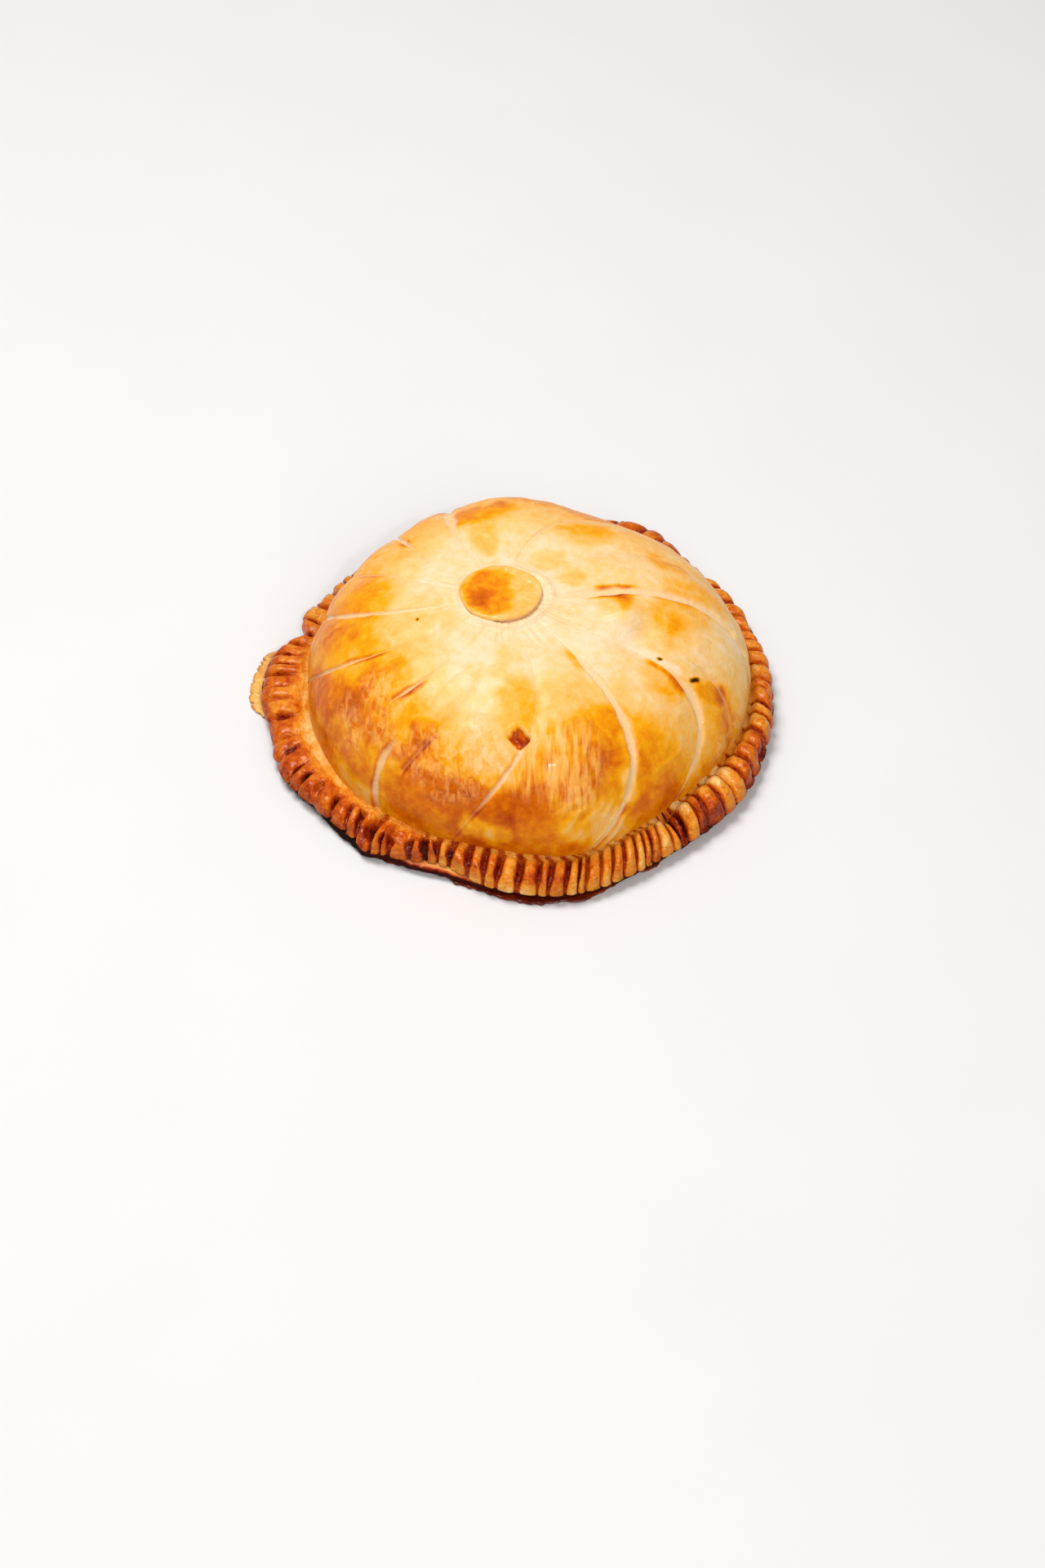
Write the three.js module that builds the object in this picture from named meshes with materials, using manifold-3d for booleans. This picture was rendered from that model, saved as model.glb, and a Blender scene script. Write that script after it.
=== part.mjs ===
// A whole round cheese baked in puff pastry: a domed lid, scored in curved cuts that run out from
// a pastry button, and crimped all round onto a thin bottom sheet. Juices have baked on under it.
// Millimetres, +Z up. The front is -Y, and the origin is under the middle of the flat underside.
// Angles are degrees, counter-clockwise from +X.

import * as THREE from "three";
import { mergeVertices } from "three/addons/utils/BufferGeometryUtils.js";
import Module from "manifold-3d";

const wasm = await Module();
wasm.setup();

// ---------------------------------------------------------------- driving dimensions

// The pie is uneven, so each outline is a circle with swells: at an angle, the edge is pulled out
// (or in, below zero) by so many millimetres, and the pull fades over so many degrees.
const RIM = {
  radius: 69.7,
  swells: [
    { angle: 33, reach: 0.8, fade: 8 },
    { angle: 62, reach: 7, fade: 11 },
    { angle: 136, reach: -1.2, fade: 16 },
    { angle: 160, reach: -4.5, fade: 3.5 },
    { angle: 175, reach: 3.7, fade: 16 },
    { angle: 204, reach: 2.8, fade: 9.5 },
    { angle: 233, reach: 1.7, fade: 3 },
    { angle: 250, reach: -4.1, fade: 8.5 },
    { angle: 280, reach: 3.7, fade: 16 },
    { angle: 328, reach: 1.1, fade: 12 },
  ],
};
const DOME_FOOT = {
  radius: 60,
  swells: [
    { angle: 8, reach: 2.8, fade: 32 },
    { angle: 70, reach: -2, fade: 24 },
    { angle: 140, reach: -1, fade: 40 },
    { angle: 280, reach: 3.4, fade: 13 },
    { angle: 322, reach: -1.4, fade: 13 },
  ],
};
// The bottom sheet and the baked juices are measured out from the rim's edge.
const SHEET_REACH = { radius: -1.4, swells: [{ angle: 249, reach: 3.2, fade: 9 }] };
const JUICE_REACH = {
  radius: -2.4,
  swells: [
    { angle: 249, reach: 1.6, fade: 8 },
    { angle: 254, reach: 3, fade: 45 },
    { angle: 280, reach: 0.8, fade: 9 },
    { angle: 299, reach: 1.5, fade: 6 },
  ],
};
const JUICE_THICKNESS = 0.8;
const SHEET_THICKNESS = 2.4;

const DOME_TOP = { x: -6.3, y: 1.3, z: 42.3 }; // the highest point, off centre to the left
const FOOT_HEIGHT = 6; // where the dome meets the rim
const FLATNESS = 3.17; // the power of the dome's curve: 2 is half an ellipse, more is flatter

// Each cut's angle at four stations along the crust from the button out to the foot, the shares of
// that length where it starts and ends, and its width and depth.
const CUT_STATIONS = [0.15, 0.45, 0.72, 1];
const CUTS = [
  { angles: [2, 8, 6, -2], from: 0.12, to: 0.96, width: 2, depth: 0.9 },
  { angles: [40, 35, 24, 12], from: 0.12, to: 0.8, width: 1.2, depth: 0.6 },
  { angles: [81, 69, 54, 42], from: 0.12, to: 0.9, width: 1.6, depth: 0.8 },
  { angles: [123, 119, 112, 100], from: 0.16, to: 0.98, width: 2.2, depth: 1.1 },
  { angles: [150, 141, 132, 122], from: 0.3, to: 0.9, width: 1.4, depth: 0.7 },
  { angles: [167, 161, 153, 140], from: 0.16, to: 0.95, width: 1.4, depth: 0.7 },
  { angles: [191, 184, 171, 155], from: 0.12, to: 0.98, width: 2, depth: 0.9 },
  { angles: [217, 206, 193, 178], from: 0.16, to: 1, width: 1.8, depth: 0.9 },
  { angles: [248, 229, 217, 203], from: 0.12, to: 0.9, width: 1.6, depth: 0.8 },
  { angles: [255, 241, 229, 227], from: 0.58, to: 1, width: 2.4, depth: 1.1 },
  { angles: [263, 251, 239, 233], from: 0.12, to: 0.78, width: 1.4, depth: 0.7 },
  { angles: [284, 277, 264, 249], from: 0.12, to: 0.98, width: 2, depth: 1.1 },
  { angles: [306, 307, 304, 282], from: 0.12, to: 1, width: 2.6, depth: 1.3 },
  { angles: [329, 335, 332, 309], from: 0.12, to: 0.98, width: 2.6, depth: 1.3 },
  { angles: [345, 342, 343, 332], from: 0.64, to: 0.96, width: 2.6, depth: 1.4 },
];
const CROWNING = 0.9; // how far a wide panel of crust crowns up between two cuts

// Lumps, and one dent, of the filling that show through the crust.
const LUMPS = [
  { x: 27, y: -3, size: 7, rise: 1.8 },
  { x: 36, y: -6, size: 4, rise: -0.9 },
  { x: 8, y: -47, size: 12, rise: 1 },
  { x: -33, y: -33, size: 10, rise: 0.8 },
  { x: -6, y: 42, size: 16, rise: 1.8 },
];

const BUTTON = { length: 22.4, width: 20.8, thickness: 1.8, edge: 0.8, dish: 0.3 };

// The rim's ribs, pressed in lengths with a fork: from each angle up to the next, so many.
const CRIMP_LENGTHS = [
  { from: -50, crimps: 6 },
  { from: -15, crimps: 8 },
  { from: 20, crimps: 29 },
  { from: 164, crimps: 3 },
  { from: 174, crimps: 4 },
  { from: 195, crimps: 8 },
  { from: 232, crimps: 19 },
];
const CRIMP_DEPTH = 1.9;
const CRIMP_BITE = 1; // how far a groove cuts in at the rim's edge
const CRIMP_LEAN = [-3, -3.5, -4, -3.5, -2.5, -1, 4, 1, -4, -3]; // run round from foot to edge, every 36 degrees
const CREST_RISE = [5.2, 5.2, 6, 5.2, 4.6, 4.4, 4.8, 5.2, 5, 6]; // above the bottom sheet, every 36 degrees
const GUTTER_RISE = 2.9; // the rim at the foot of the dome, above the bottom sheet
const GUTTER = { radius: 0.8, swells: [{ angle: 205, reach: 3, fade: 30 }] }; // its width before the ribs
const RIM_TUCK = 6; // how far the rim reaches in under the dome

// Notches in the rim where two lengths of crimped edge meet.
const NOTCHES = [
  { angle: 231, depth: 1.4, size: 1.6 },
  { angle: 309.5, depth: 2.8, size: 2.2 },
];

// Cheese that ran out on the left and set in a thin frill.
const FRILL = { from: 159, to: 184, reach: 4, thickness: 1.5, clearance: 0.6 };

// How finely the solids are divided.
const PANEL_SPOKES = 4;
const DOME_RINGS = 19;
const BUTTON_SPOKES = 36;
const SHEET_SPOKES = 120;
const FRILL_STEPS = 28;

// ---------------------------------------------------------------- sizes that vary round the pie

const SHEET_TOP = JUICE_THICKNESS + SHEET_THICKNESS;
const radians = THREE.MathUtils.degToRad;
const smooth = THREE.MathUtils.smoothstep;
const wrap = THREE.MathUtils.euclideanModulo;

const bump = (distance, size) => Math.exp(-((distance / size) ** 2));

// The shorter way round from one angle to another.
const turnBetween = (from, to) => wrap(to - from + 180, 360) - 180;

function edgeAt({ radius, swells }, angle) {
  return swells.reduce((sum, { angle: at, reach, fade }) => sum + reach * bump(turnBetween(at, angle), fade), radius);
}

const rimRadius = (angle) => edgeAt(RIM, angle);
const footRadius = (angle) => edgeAt(DOME_FOOT, angle);
const sheetRadius = (angle) => rimRadius(angle) + edgeAt(SHEET_REACH, angle);

// The juices ran out in small lobes.
function juiceRadius(angle) {
  const lobes = 0.4 * Math.sin(radians(angle * 23)) + 0.3 * Math.sin(radians(angle * 41 + 60));
  return rimRadius(angle) + edgeAt(JUICE_REACH, angle) + lobes;
}

// A smooth closed curve through values at even steps of angle.
function around(values, angle) {
  const place = (wrap(angle, 360) / 360) * values.length;
  const before = Math.floor(place);
  const blend = smooth(place - before, 0, 1);
  return THREE.MathUtils.lerp(values[before], values[(before + 1) % values.length], blend);
}

// A repeatable random number from 0 to 1 for a whole number.
function chance(n) {
  const wave = Math.sin(n * 127.1 + 311.7) * 43758.5453;
  return wave - Math.floor(wave);
}

function polar(radius, angle, z) {
  return new THREE.Vector3(radius * Math.cos(radians(angle)), radius * Math.sin(radians(angle)), z);
}

// ---------------------------------------------------------------- solids from lathed grids

// A lathed solid whose points are then placed one by one: place(station, spoke) gives the point.
// The lathe's profile only counts the stations. A capped one starts and ends at a single point.
function lathed(stations, spokes, capped, place) {
  const count = capped ? stations : stations + 1;
  const profile = Array.from({ length: count }, (_, j) => {
    const turn = (j / (count - 1)) * (capped ? Math.PI : 2 * Math.PI) - Math.PI / 2;
    return new THREE.Vector2((capped ? 0 : 3) + Math.cos(turn), Math.sin(turn));
  });
  const geometry = new THREE.LatheGeometry(profile, spokes);
  const position = geometry.getAttribute("position");
  for (let i = 0; i <= spokes; i++) {
    for (let j = 0; j < count; j++) {
      const point = place(j % stations, i % spokes);
      position.setXYZ(i * count + j, point.x, point.y, point.z);
    }
  }
  return welded(geometry);
}

function welded(geometry) {
  geometry.deleteAttribute("normal");
  geometry.deleteAttribute("uv");
  return mergeVertices(geometry, 1e-3);
}

function asManifold(geometry) {
  return new wasm.Manifold(
    new wasm.Mesh({
      numProp: 3,
      vertProperties: geometry.getAttribute("position").array,
      triVerts: new Uint32Array(geometry.index.array),
    }),
  );
}

function fused(first, second) {
  const mesh = asManifold(first).add(asManifold(second)).getMesh();
  const geometry = new THREE.BufferGeometry();
  geometry.setAttribute("position", new THREE.BufferAttribute(mesh.vertProperties, 3));
  geometry.setIndex(new THREE.BufferAttribute(mesh.triVerts, 1));
  return geometry;
}

// ---------------------------------------------------------------- the dome

// Points down the dome's curve, each with its reach (a share of the foot's radius), its height
// and its length along the crust from the top.
const domeCurve = (() => {
  const STEPS = 300;
  const points = [];
  let length = 0;
  for (let i = 0; i <= STEPS; i++) {
    const turn = ((i / STEPS) * Math.PI) / 2;
    const reach = Math.sin(turn) ** (2 / FLATNESS);
    const z = FOOT_HEIGHT + (DOME_TOP.z - FOOT_HEIGHT) * Math.cos(turn);
    const last = points.at(-1) ?? { reach, z };
    length += Math.hypot((reach - last.reach) * DOME_FOOT.radius, z - last.z);
    points.push({ reach, z, length });
  }
  return points;
})();

// The reach and height at a share of the way down the crust.
function downDome(share) {
  const wanted = THREE.MathUtils.clamp(share, 0, 1) * domeCurve.at(-1).length;
  const next = Math.max(1, domeCurve.findIndex((point) => point.length >= wanted));
  const [a, b] = [domeCurve[next - 1], domeCurve[next]];
  const f = (wanted - a.length) / (b.length - a.length);
  return { reach: THREE.MathUtils.lerp(a.reach, b.reach, f), z: THREE.MathUtils.lerp(a.z, b.z, f) };
}

// The smooth dome, before its cuts and lumps.
function domePoint(share, angle) {
  const { reach, z } = downDome(share);
  const point = polar(reach * footRadius(angle), angle, z);
  point.x += DOME_TOP.x * (1 - reach);
  point.y += DOME_TOP.y * (1 - reach);
  return point;
}

function domeNormal(share, angle) {
  const STEP = 0.01;
  const inner = Math.max(share - STEP, 2 * STEP);
  const along = domePoint(inner + STEP, angle).sub(domePoint(inner, angle));
  const across = domePoint(share, angle + 1).sub(domePoint(share, angle - 1));
  return along.cross(across).normalize();
}

// A cut's angle at a share of the way down the crust: the cubic through its four stations.
function cutAngle(cut, share) {
  const s = Math.max(share, CUT_STATIONS[0]);
  const weight = (i) =>
    CUT_STATIONS.reduce((w, at, j) => (j === i ? w : (w * (s - at)) / (CUT_STATIONS[i] - at)), 1);
  return cut.angles.reduce((sum, angle, i) => sum + weight(i) * angle, 0);
}

function cutOpenness(cut, share) {
  return smooth(share, cut.from - 0.02, cut.from + 0.08) * (1 - smooth(share, cut.to - 0.1, cut.to + 0.02));
}

function lumpRise({ x, y }) {
  return LUMPS.reduce((sum, lump) => sum + lump.rise * bump(Math.hypot(x - lump.x, y - lump.y), lump.size), 0);
}

// Three spokes of the dome follow each cut, on its two lips and its bed, and the rest share out
// the panel of crust up to the next cut.
function crustPoint(share, spoke) {
  const perCut = 3 + PANEL_SPOKES;
  const cut = CUTS[Math.floor(spoke / perCut)];
  const next = CUTS[(Math.floor(spoke / perCut) + 1) % CUTS.length];
  const slot = spoke % perCut;
  const radius = Math.max(downDome(share).reach, 0.12) * DOME_FOOT.radius;
  const halfWidth = ({ width }) => THREE.MathUtils.radToDeg(width / 2 / radius);
  const start = cutAngle(cut, share);
  const panel = wrap(cutAngle(next, share) - start, 360) - halfWidth(cut) - halfWidth(next);
  const relief = smooth(share, 0.2, 0.4) * (1 - smooth(share, 0.85, 1));
  let angle = start - halfWidth(cut);
  let rise = 0;
  if (slot === 1) {
    angle = start;
    rise = -cut.depth * cutOpenness(cut, share);
  } else if (slot > 1) {
    const across = (slot - 2) / (PANEL_SPOKES + 1);
    const fullness = smooth(radians(panel) * radius, 3, 14);
    angle = start + halfWidth(cut) + across * panel;
    rise = CROWNING * fullness * relief * (1 - (2 * across - 1) ** 2);
  }
  const point = domePoint(share, angle);
  return point.addScaledVector(domeNormal(share, angle), rise + relief * lumpRise(point));
}

// The stations run from the middle of the flat underside, out to its edge, and up to the top.
function domeSolid() {
  const TOP = DOME_RINGS + 2;
  return lathed(TOP + 1, CUTS.length * (3 + PANEL_SPOKES), true, (station, spoke) => {
    if (station === 0) return new THREE.Vector3(0, 0, SHEET_TOP);
    if (station === 1) return crustPoint(1, spoke).setZ(SHEET_TOP);
    return crustPoint((TOP - station) / DOME_RINGS, station === TOP ? 0 : spoke);
  });
}

// ---------------------------------------------------------------- the crimped rim

// Each crimp's angle, width and depth, a little uneven, in order round the pie.
const crimps = CRIMP_LENGTHS.flatMap(({ from, crimps: count }, i) => {
  const end = CRIMP_LENGTHS[i + 1]?.from ?? CRIMP_LENGTHS[0].from + 360;
  const widths = Array.from({ length: count }, (_, k) => 0.85 + 0.3 * chance(100 * i + k));
  const total = widths.reduce((a, b) => a + b);
  return widths.map((share, k) => ({
    angle: from + ((end - from) * widths.slice(0, k).reduce((a, b) => a + b, 0)) / total,
    width: ((end - from) * share) / total,
    depth: 0.8 + 0.4 * chance(100 * i + k + 50),
  }));
});

function notchDepth(angle) {
  return NOTCHES.reduce((sum, { angle: at, depth, size }) => {
    return sum + depth * bump(radians(turnBetween(at, angle)) * RIM.radius, size);
  }, 0);
}

// The stations of the rim's upper face, from the dome out to the edge: how far across it each
// lies, the share of the crest's height there, and how much of a crimp it takes.
const RIM_FACE = [
  { across: 0, height: 0, crimped: 0 },
  { across: 0.1, height: 0.6, crimped: 0.3 },
  { across: 0.35, height: 1, crimped: 1 },
  { across: 0.7, height: 0.8, crimped: 1 },
  { across: 0.92, height: 0.3, crimped: 1 },
  { across: 1, height: -0.7, crimped: 0.6 },
];

// Four spokes of the rim follow each crimp: two on the bed of its groove and two on its rib.
function rimSolid() {
  const SLOTS = [0, 0.22, 0.42, 0.8];
  const last = RIM_FACE.length + 1;
  return lathed(RIM_FACE.length + 4, crimps.length * SLOTS.length, false, (station, spoke) => {
    const crimp = crimps[Math.floor(spoke / SLOTS.length)];
    const slot = spoke % SLOTS.length;
    const groove = slot < 2 ? crimp.depth : 0;
    const straight = crimp.angle + crimp.width * SLOTS[slot];
    const across = RIM_FACE[THREE.MathUtils.clamp(last - station, 0, RIM_FACE.length - 1)].across;
    const angle = straight + THREE.MathUtils.radToDeg(around(CRIMP_LEAN, straight) / RIM.radius) * (across - 0.5);
    const foot = footRadius(angle);
    const edge = rimRadius(angle);
    const gutterTop = SHEET_TOP + GUTTER_RISE;
    if (station === 0) return polar(foot - RIM_TUCK, straight, SHEET_TOP);
    if (station === 1) return polar(edge - 1.2 - groove * CRIMP_BITE, angle, SHEET_TOP);
    if (station === last + 1) return polar(foot + 0.2, straight, gutterTop);
    if (station === last + 2) return polar(foot - RIM_TUCK, straight, gutterTop);
    const { height, crimped } = RIM_FACE[last - station];
    const start = foot + edgeAt(GUTTER, angle);
    const top = gutterTop + height * (around(CREST_RISE, angle) - GUTTER_RISE);
    const sunk = (groove * CRIMP_DEPTH + notchDepth(angle)) * crimped;
    const radius = start + across * (edge - start) - groove * CRIMP_BITE * across ** 4;
    return polar(radius, angle, Math.max(top - sunk, SHEET_TOP + 0.8));
  });
}

// ---------------------------------------------------------------- the other pieces

// A thin flat layer out to an uneven edge, which is rounded a little.
function layerSolid(bottom, top, radiusAt) {
  const ROUNDING = 0.35;
  const stations = [
    { share: 0, inset: 0, z: bottom },
    { share: 1, inset: ROUNDING, z: bottom },
    { share: 1, inset: 0, z: (bottom + top) / 2 },
    { share: 1, inset: ROUNDING, z: top },
    { share: 0, inset: 0, z: top },
  ];
  return lathed(stations.length, SHEET_SPOKES, true, (station, spoke) => {
    const { share, inset, z } = stations[station];
    const angle = (spoke / SHEET_SPOKES) * 360;
    return polar(share * (radiusAt(angle) - inset), angle, z);
  });
}

// The button's edge is round, and its face is dished.
function buttonSolid() {
  const { length, width, thickness, edge, dish } = BUTTON;
  const stations = [
    { inset: length / 2, z: 0 },
    { inset: edge, z: 0 },
    { inset: 0, z: edge },
    { inset: 0.2 * edge, z: thickness - 0.4 * edge },
    { inset: edge, z: thickness },
    { inset: 3.5 * edge, z: thickness - dish },
    { inset: length / 4, z: thickness - dish },
    { inset: length / 2, z: thickness - dish },
  ];
  return lathed(stations.length, BUTTON_SPOKES, true, (station, spoke) => {
    const { inset, z } = stations[station];
    const angle = (spoke / BUTTON_SPOKES) * 360;
    const uneven = 1 + 0.012 * Math.sin(radians(3 * angle + 40)) + 0.01 * Math.sin(radians(5 * angle));
    const point = polar((length / 2 - inset) * uneven, angle, z);
    return point.setY((point.y * width) / length);
  });
}

function frillSolid() {
  const { from, to, reach, thickness, clearance } = FRILL;
  const outer = [];
  const inner = [];
  for (let i = 0; i <= FRILL_STEPS; i++) {
    const angle = THREE.MathUtils.lerp(from, to, i / FRILL_STEPS);
    const fullness = Math.sqrt(smooth(i / FRILL_STEPS, 0, 0.25) * (1 - smooth(i / FRILL_STEPS, 0.8, 1)));
    const near = sheetRadius(angle) + clearance;
    const ragged = 0.6 * (chance(i + 900) - 0.5);
    outer.push(polar(near + 0.8 + (reach + ragged) * fullness, angle, 0));
    inner.unshift(polar(near, angle, 0));
  }
  const corners = [...outer, ...inner].map(({ x, y }) => new THREE.Vector2(x, y));
  return welded(new THREE.ExtrudeGeometry(new THREE.Shape(corners), { depth: thickness, bevelEnabled: false }));
}

// ---------------------------------------------------------------- the pie

const pie = new THREE.Group();

function addPiece(name, geometry, color, roughness) {
  const mesh = new THREE.Mesh(geometry, new THREE.MeshStandardMaterial({ color, roughness, metalness: 0 }));
  mesh.name = name;
  pie.add(mesh);
  return mesh;
}

addPiece("crust_lid", fused(domeSolid(), rimSolid()), 0xe2a04c, 0.4);
addPiece("bottom_sheet", layerSolid(JUICE_THICKNESS, SHEET_TOP, sheetRadius), 0xd9a866, 0.6);
addPiece("baked_juices", layerSolid(0, JUICE_THICKNESS, juiceRadius), 0x5a1e0a, 0.25);
addPiece("cheese_frill", frillSolid(), 0xd9b36c, 0.5);
addPiece("pastry_button", buttonSolid(), 0xe09a38, 0.35).position.set(DOME_TOP.x, DOME_TOP.y, DOME_TOP.z);

export default pie;
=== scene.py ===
"""A whole round cheese baked in puff pastry, dressed over its CAD frame.

Sizes in the working are millimetres, and angles are degrees, counter-clockwise from +X. The front
is -Y, and the origin is under the middle of the underside. "Share" is how far down the dome's crust
a place lies, from 0 under the button to 1 at the foot.
"""

import math

import bmesh
import bpy
import numpy as np
from bpy.props import FloatProperty, FloatVectorProperty, PointerProperty
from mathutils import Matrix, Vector


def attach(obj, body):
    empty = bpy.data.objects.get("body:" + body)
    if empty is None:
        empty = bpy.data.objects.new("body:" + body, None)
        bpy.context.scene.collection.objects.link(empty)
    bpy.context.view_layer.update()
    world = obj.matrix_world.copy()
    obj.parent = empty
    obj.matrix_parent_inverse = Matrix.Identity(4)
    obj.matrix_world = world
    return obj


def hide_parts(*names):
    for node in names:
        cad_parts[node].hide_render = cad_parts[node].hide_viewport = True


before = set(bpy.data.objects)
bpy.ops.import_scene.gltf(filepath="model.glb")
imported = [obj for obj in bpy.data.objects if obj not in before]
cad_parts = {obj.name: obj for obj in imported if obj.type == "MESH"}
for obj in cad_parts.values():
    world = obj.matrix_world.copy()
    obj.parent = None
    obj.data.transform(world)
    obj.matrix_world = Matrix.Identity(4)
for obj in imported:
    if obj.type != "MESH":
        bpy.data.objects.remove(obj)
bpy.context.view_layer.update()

bl_info = {
    "name": "Cheese in Puff Pastry",
    "version": (1, 0, 0),
    "blender": (4, 5, 0),
    "location": "3D View > Sidebar > Pie",
    "description": "A scored and crimped pastry dome round a whole cheese",
    "category": "Object",
}

MM = 0.001

# Each outline is a circle with swells: (angle, reach, how many degrees it fades over).
RIM_SWELLS = (
    (33, 0.8, 8), (62, 7, 11), (136, -1.2, 16), (160, -4.5, 3.5), (175, 3.7, 16),
    (204, 2.8, 9.5), (233, 1.7, 3), (250, -4.1, 8.5), (280, 3.7, 16), (328, 1.1, 12),
)
FOOT_SWELLS = ((8, 2.8, 32), (70, -2, 24), (140, -1, 40), (280, 3.4, 13), (322, -1.4, 13))
SHEET_SWELLS = ((249, 3.2, 9), (226, 1.8, 7))
JUICE_SWELLS = ((249, 1.6, 8), (254, 3, 45), (280, 0.8, 9), (299, 1.5, 6))

DOME_TOP = (-6.3, 1.3)  # where the dome's highest point stands, off the origin
FOOT_HEIGHT = 6
FLATNESS = 3.17  # 2 would be a round dome, and more makes its top flatter and its sides steeper

# The cuts, in order round the dome: the angle at four shares, where a cut starts and ends, the
# share range over which it gapes, its width there, its depth, and how bare its bed is.
CUT_SHARES = (0.15, 0.45, 0.72, 1)
CUTS = (
    ((2, 8, 6, -2), 0.12, 0.97, (0.2, 1), 2.7, 0.5, 0.9),
    ((40, 35, 24, 12), 0.13, 0.8, (0.3, 0.7), 1, 0.2, 0.5),
    ((81, 69, 54, 42), 0.13, 0.9, (0.3, 0.9), 1.3, 0.3, 0.6),
    ((123, 119, 112, 100), 0.16, 1, (0.42, 1.1), 3.6, 0.4, 0.85),
    ((150, 141, 132, 122), 0.42, 0.9, (0.5, 0.9), 1.5, 0.45, 0.8),
    ((167, 161, 153, 140), 0.16, 0.95, (0.4, 0.7), 0.8, 0.25, 0.4),
    ((191, 184, 171, 155), 0.12, 0.98, (0.25, 0.95), 1.7, 0.35, 0.85),
    ((217, 206, 193, 178), 0.16, 1, (0.6, 1), 1.3, 0.4, 0.7),
    ((246, 229, 217, 203), 0.12, 0.58, (0.46, 0.6), 1.1, 0.4, 0.6),
    ((251, 238, 229, 230), 0.68, 1, (0.74, 1.1), 2.2, 0.3, 0.7),
    ((258, 250, 237, 234), 0.42, 0.8, (0.9, 1), 0.7, 0.3, 0.45),
    ((283, 279, 264, 250), 0.12, 0.97, (0.6, 0.78), 1.9, 0.36, 0.8),
    ((314, 309, 304, 283), 0.14, 1, (0.4, 1.05), 2.6, 0.42, 0.85),
    ((327, 333, 332, 309), 0.12, 1, (0.64, 0.94), 2.9, 0.55, 0.85),
    ((345, 342, 343, 332), 0.62, 0.95, (0.66, 0.9), 1, 0.7, 0.5),
)
CROWNING = 0.9  # how far a panel of crust swells between its cuts
# Lumps and dents of the filling: x, y, size, rise.
LUMPS = (
    (26.5, -5, 5.4, 1.9), (33, -8.5, 3.5, -1), (29, -12.5, 5, -1), (18, 4, 5, -0.5), (8, -47, 12, 1),
    (-33, -33, 10, 0.8), (-6, 42, 16, 1.8),
)

# How brown the crust is at five shares down the dome, every 30 degrees round it from 0. At the back, from 60
# to 120 degrees, the two lowest shares are partly real browning and partly painted shade, where the crust
# faces away from the light.
BROWNING_SHARES = (0.12, 0.3, 0.5, 0.75, 0.95)
BROWNING_ROUND = (
    (0.1, 0.14, 0.2, 0.24, 0.26),
    (0.1, 0.14, 0.19, 0.28, 0.4),
    (0.1, 0.14, 0.27, 0.42, 0.52),
    (0.09, 0.13, 0.33, 0.5, 0.54),
    (0.08, 0.12, 0.28, 0.5, 0.52),
    (0.08, 0.12, 0.3, 0.5, 0.52),
    (0.08, 0.17, 0.32, 0.42, 0.48),
    (0.08, 0.18, 0.36, 0.48, 0.5),
    (0.08, 0.12, 0.26, 0.47, 0.5),
    (0.08, 0.13, 0.28, 0.5, 0.5),
    (0.08, 0.14, 0.28, 0.42, 0.46),
    (0.09, 0.13, 0.2, 0.3, 0.36),
)
# Browner places on the dome: angle and share of one end, of the other, radius, strength.
BROWN_PATCHES = (
    # behind the button
    (114, 0.47, 98, 0.46, 6, 0.48), (106, 0.34, 108, 0.28, 4.5, 0.26), (118, 0.95, 115, 0.65, 6, 0.25),
    (88, 0.6, 76, 0.64, 7, 0.3), (66, 0.6, 56, 0.66, 5, 0.3), (138, 0.53, 138, 0.53, 1.4, 0.5),
    # the left shoulder
    (168, 0.58, 174, 0.5, 7, 0.22), (176, 0.72, 188, 0.55, 8, 0.25), (210, 0.6, 216, 0.5, 5, 0.25),
    # the left flank, below the cut
    (190, 0.85, 206, 0.72, 7, 0.42), (205, 0.9, 222, 0.87, 7, 0.25), (215, 0.66, 223, 0.66, 8, 0.28),
    (203, 0.8, 205, 0.9, 1.3, 0.3), (232, 0.68, 238, 0.62, 5, 0.35), (235, 0.76, 240, 0.65, 1.2, 0.4),
    # the front, left of its long cut
    (240, 0.86, 262, 0.86, 10, 0.4), (236, 0.7, 243, 0.72, 5, 0.35), (250, 0.76, 258, 0.76, 3.5, 0.3),
    (255, 0.95, 278, 0.93, 8, 0.25),
    # the front, right of it
    (268, 0.78, 284, 0.79, 7, 0.45), (276, 0.68, 290, 0.7, 8, 0.3), (289, 0.74, 292, 0.66, 5, 0.38),
    (278, 0.58, 292, 0.57, 5, 0.3), (293, 0.55, 302, 0.58, 6, 0.32), (297, 0.65, 298, 0.7, 3.5, 0.4),
    (271, 0.4, 272, 0.48, 6, 0.3), (248, 0.35, 248, 0.35, 4, 0.15), (268, 0.27, 268, 0.27, 5, 0.15),
    # between the two right-hand cuts
    (307, 0.6, 305, 0.8, 7, 0.16), (311, 0.75, 314, 0.9, 8, 0.2), (303, 0.9, 310, 0.9, 6, 0.3),
    (326, 0.55, 330, 0.64, 4, 0.3),
    # the wedge of crust inside the widest cut
    (338, 0.7, 339.5, 0.77, 3.6, 0.52), (340, 0.79, 339.5, 0.88, 4, 0.4), (326, 0.94, 336, 0.94, 4, 0.4),
    (334, 0.83, 334.5, 0.86, 3, 0.15),
    # the lump, and the right side
    (3, 0.33, 356, 0.36, 3, 0.4),
    (6, 0.31, 4, 0.37, 3, 0.45), (0, 0.33, 353, 0.34, 5, 0.2), (358, 0.5, 2, 0.6, 7, 0.25),
    (348, 0.54, 353, 0.6, 5.5, 0.2), (27, 0.55, 25, 0.6, 5, 0.4), (24, 0.23, 24, 0.23, 4, 0.22),
    (60, 0.42, 52, 0.46, 6, 0.3), (55, 0.22, 50, 0.24, 4, 0.15), (12, 0.55, 14, 0.7, 5, 0.2),
)
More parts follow.
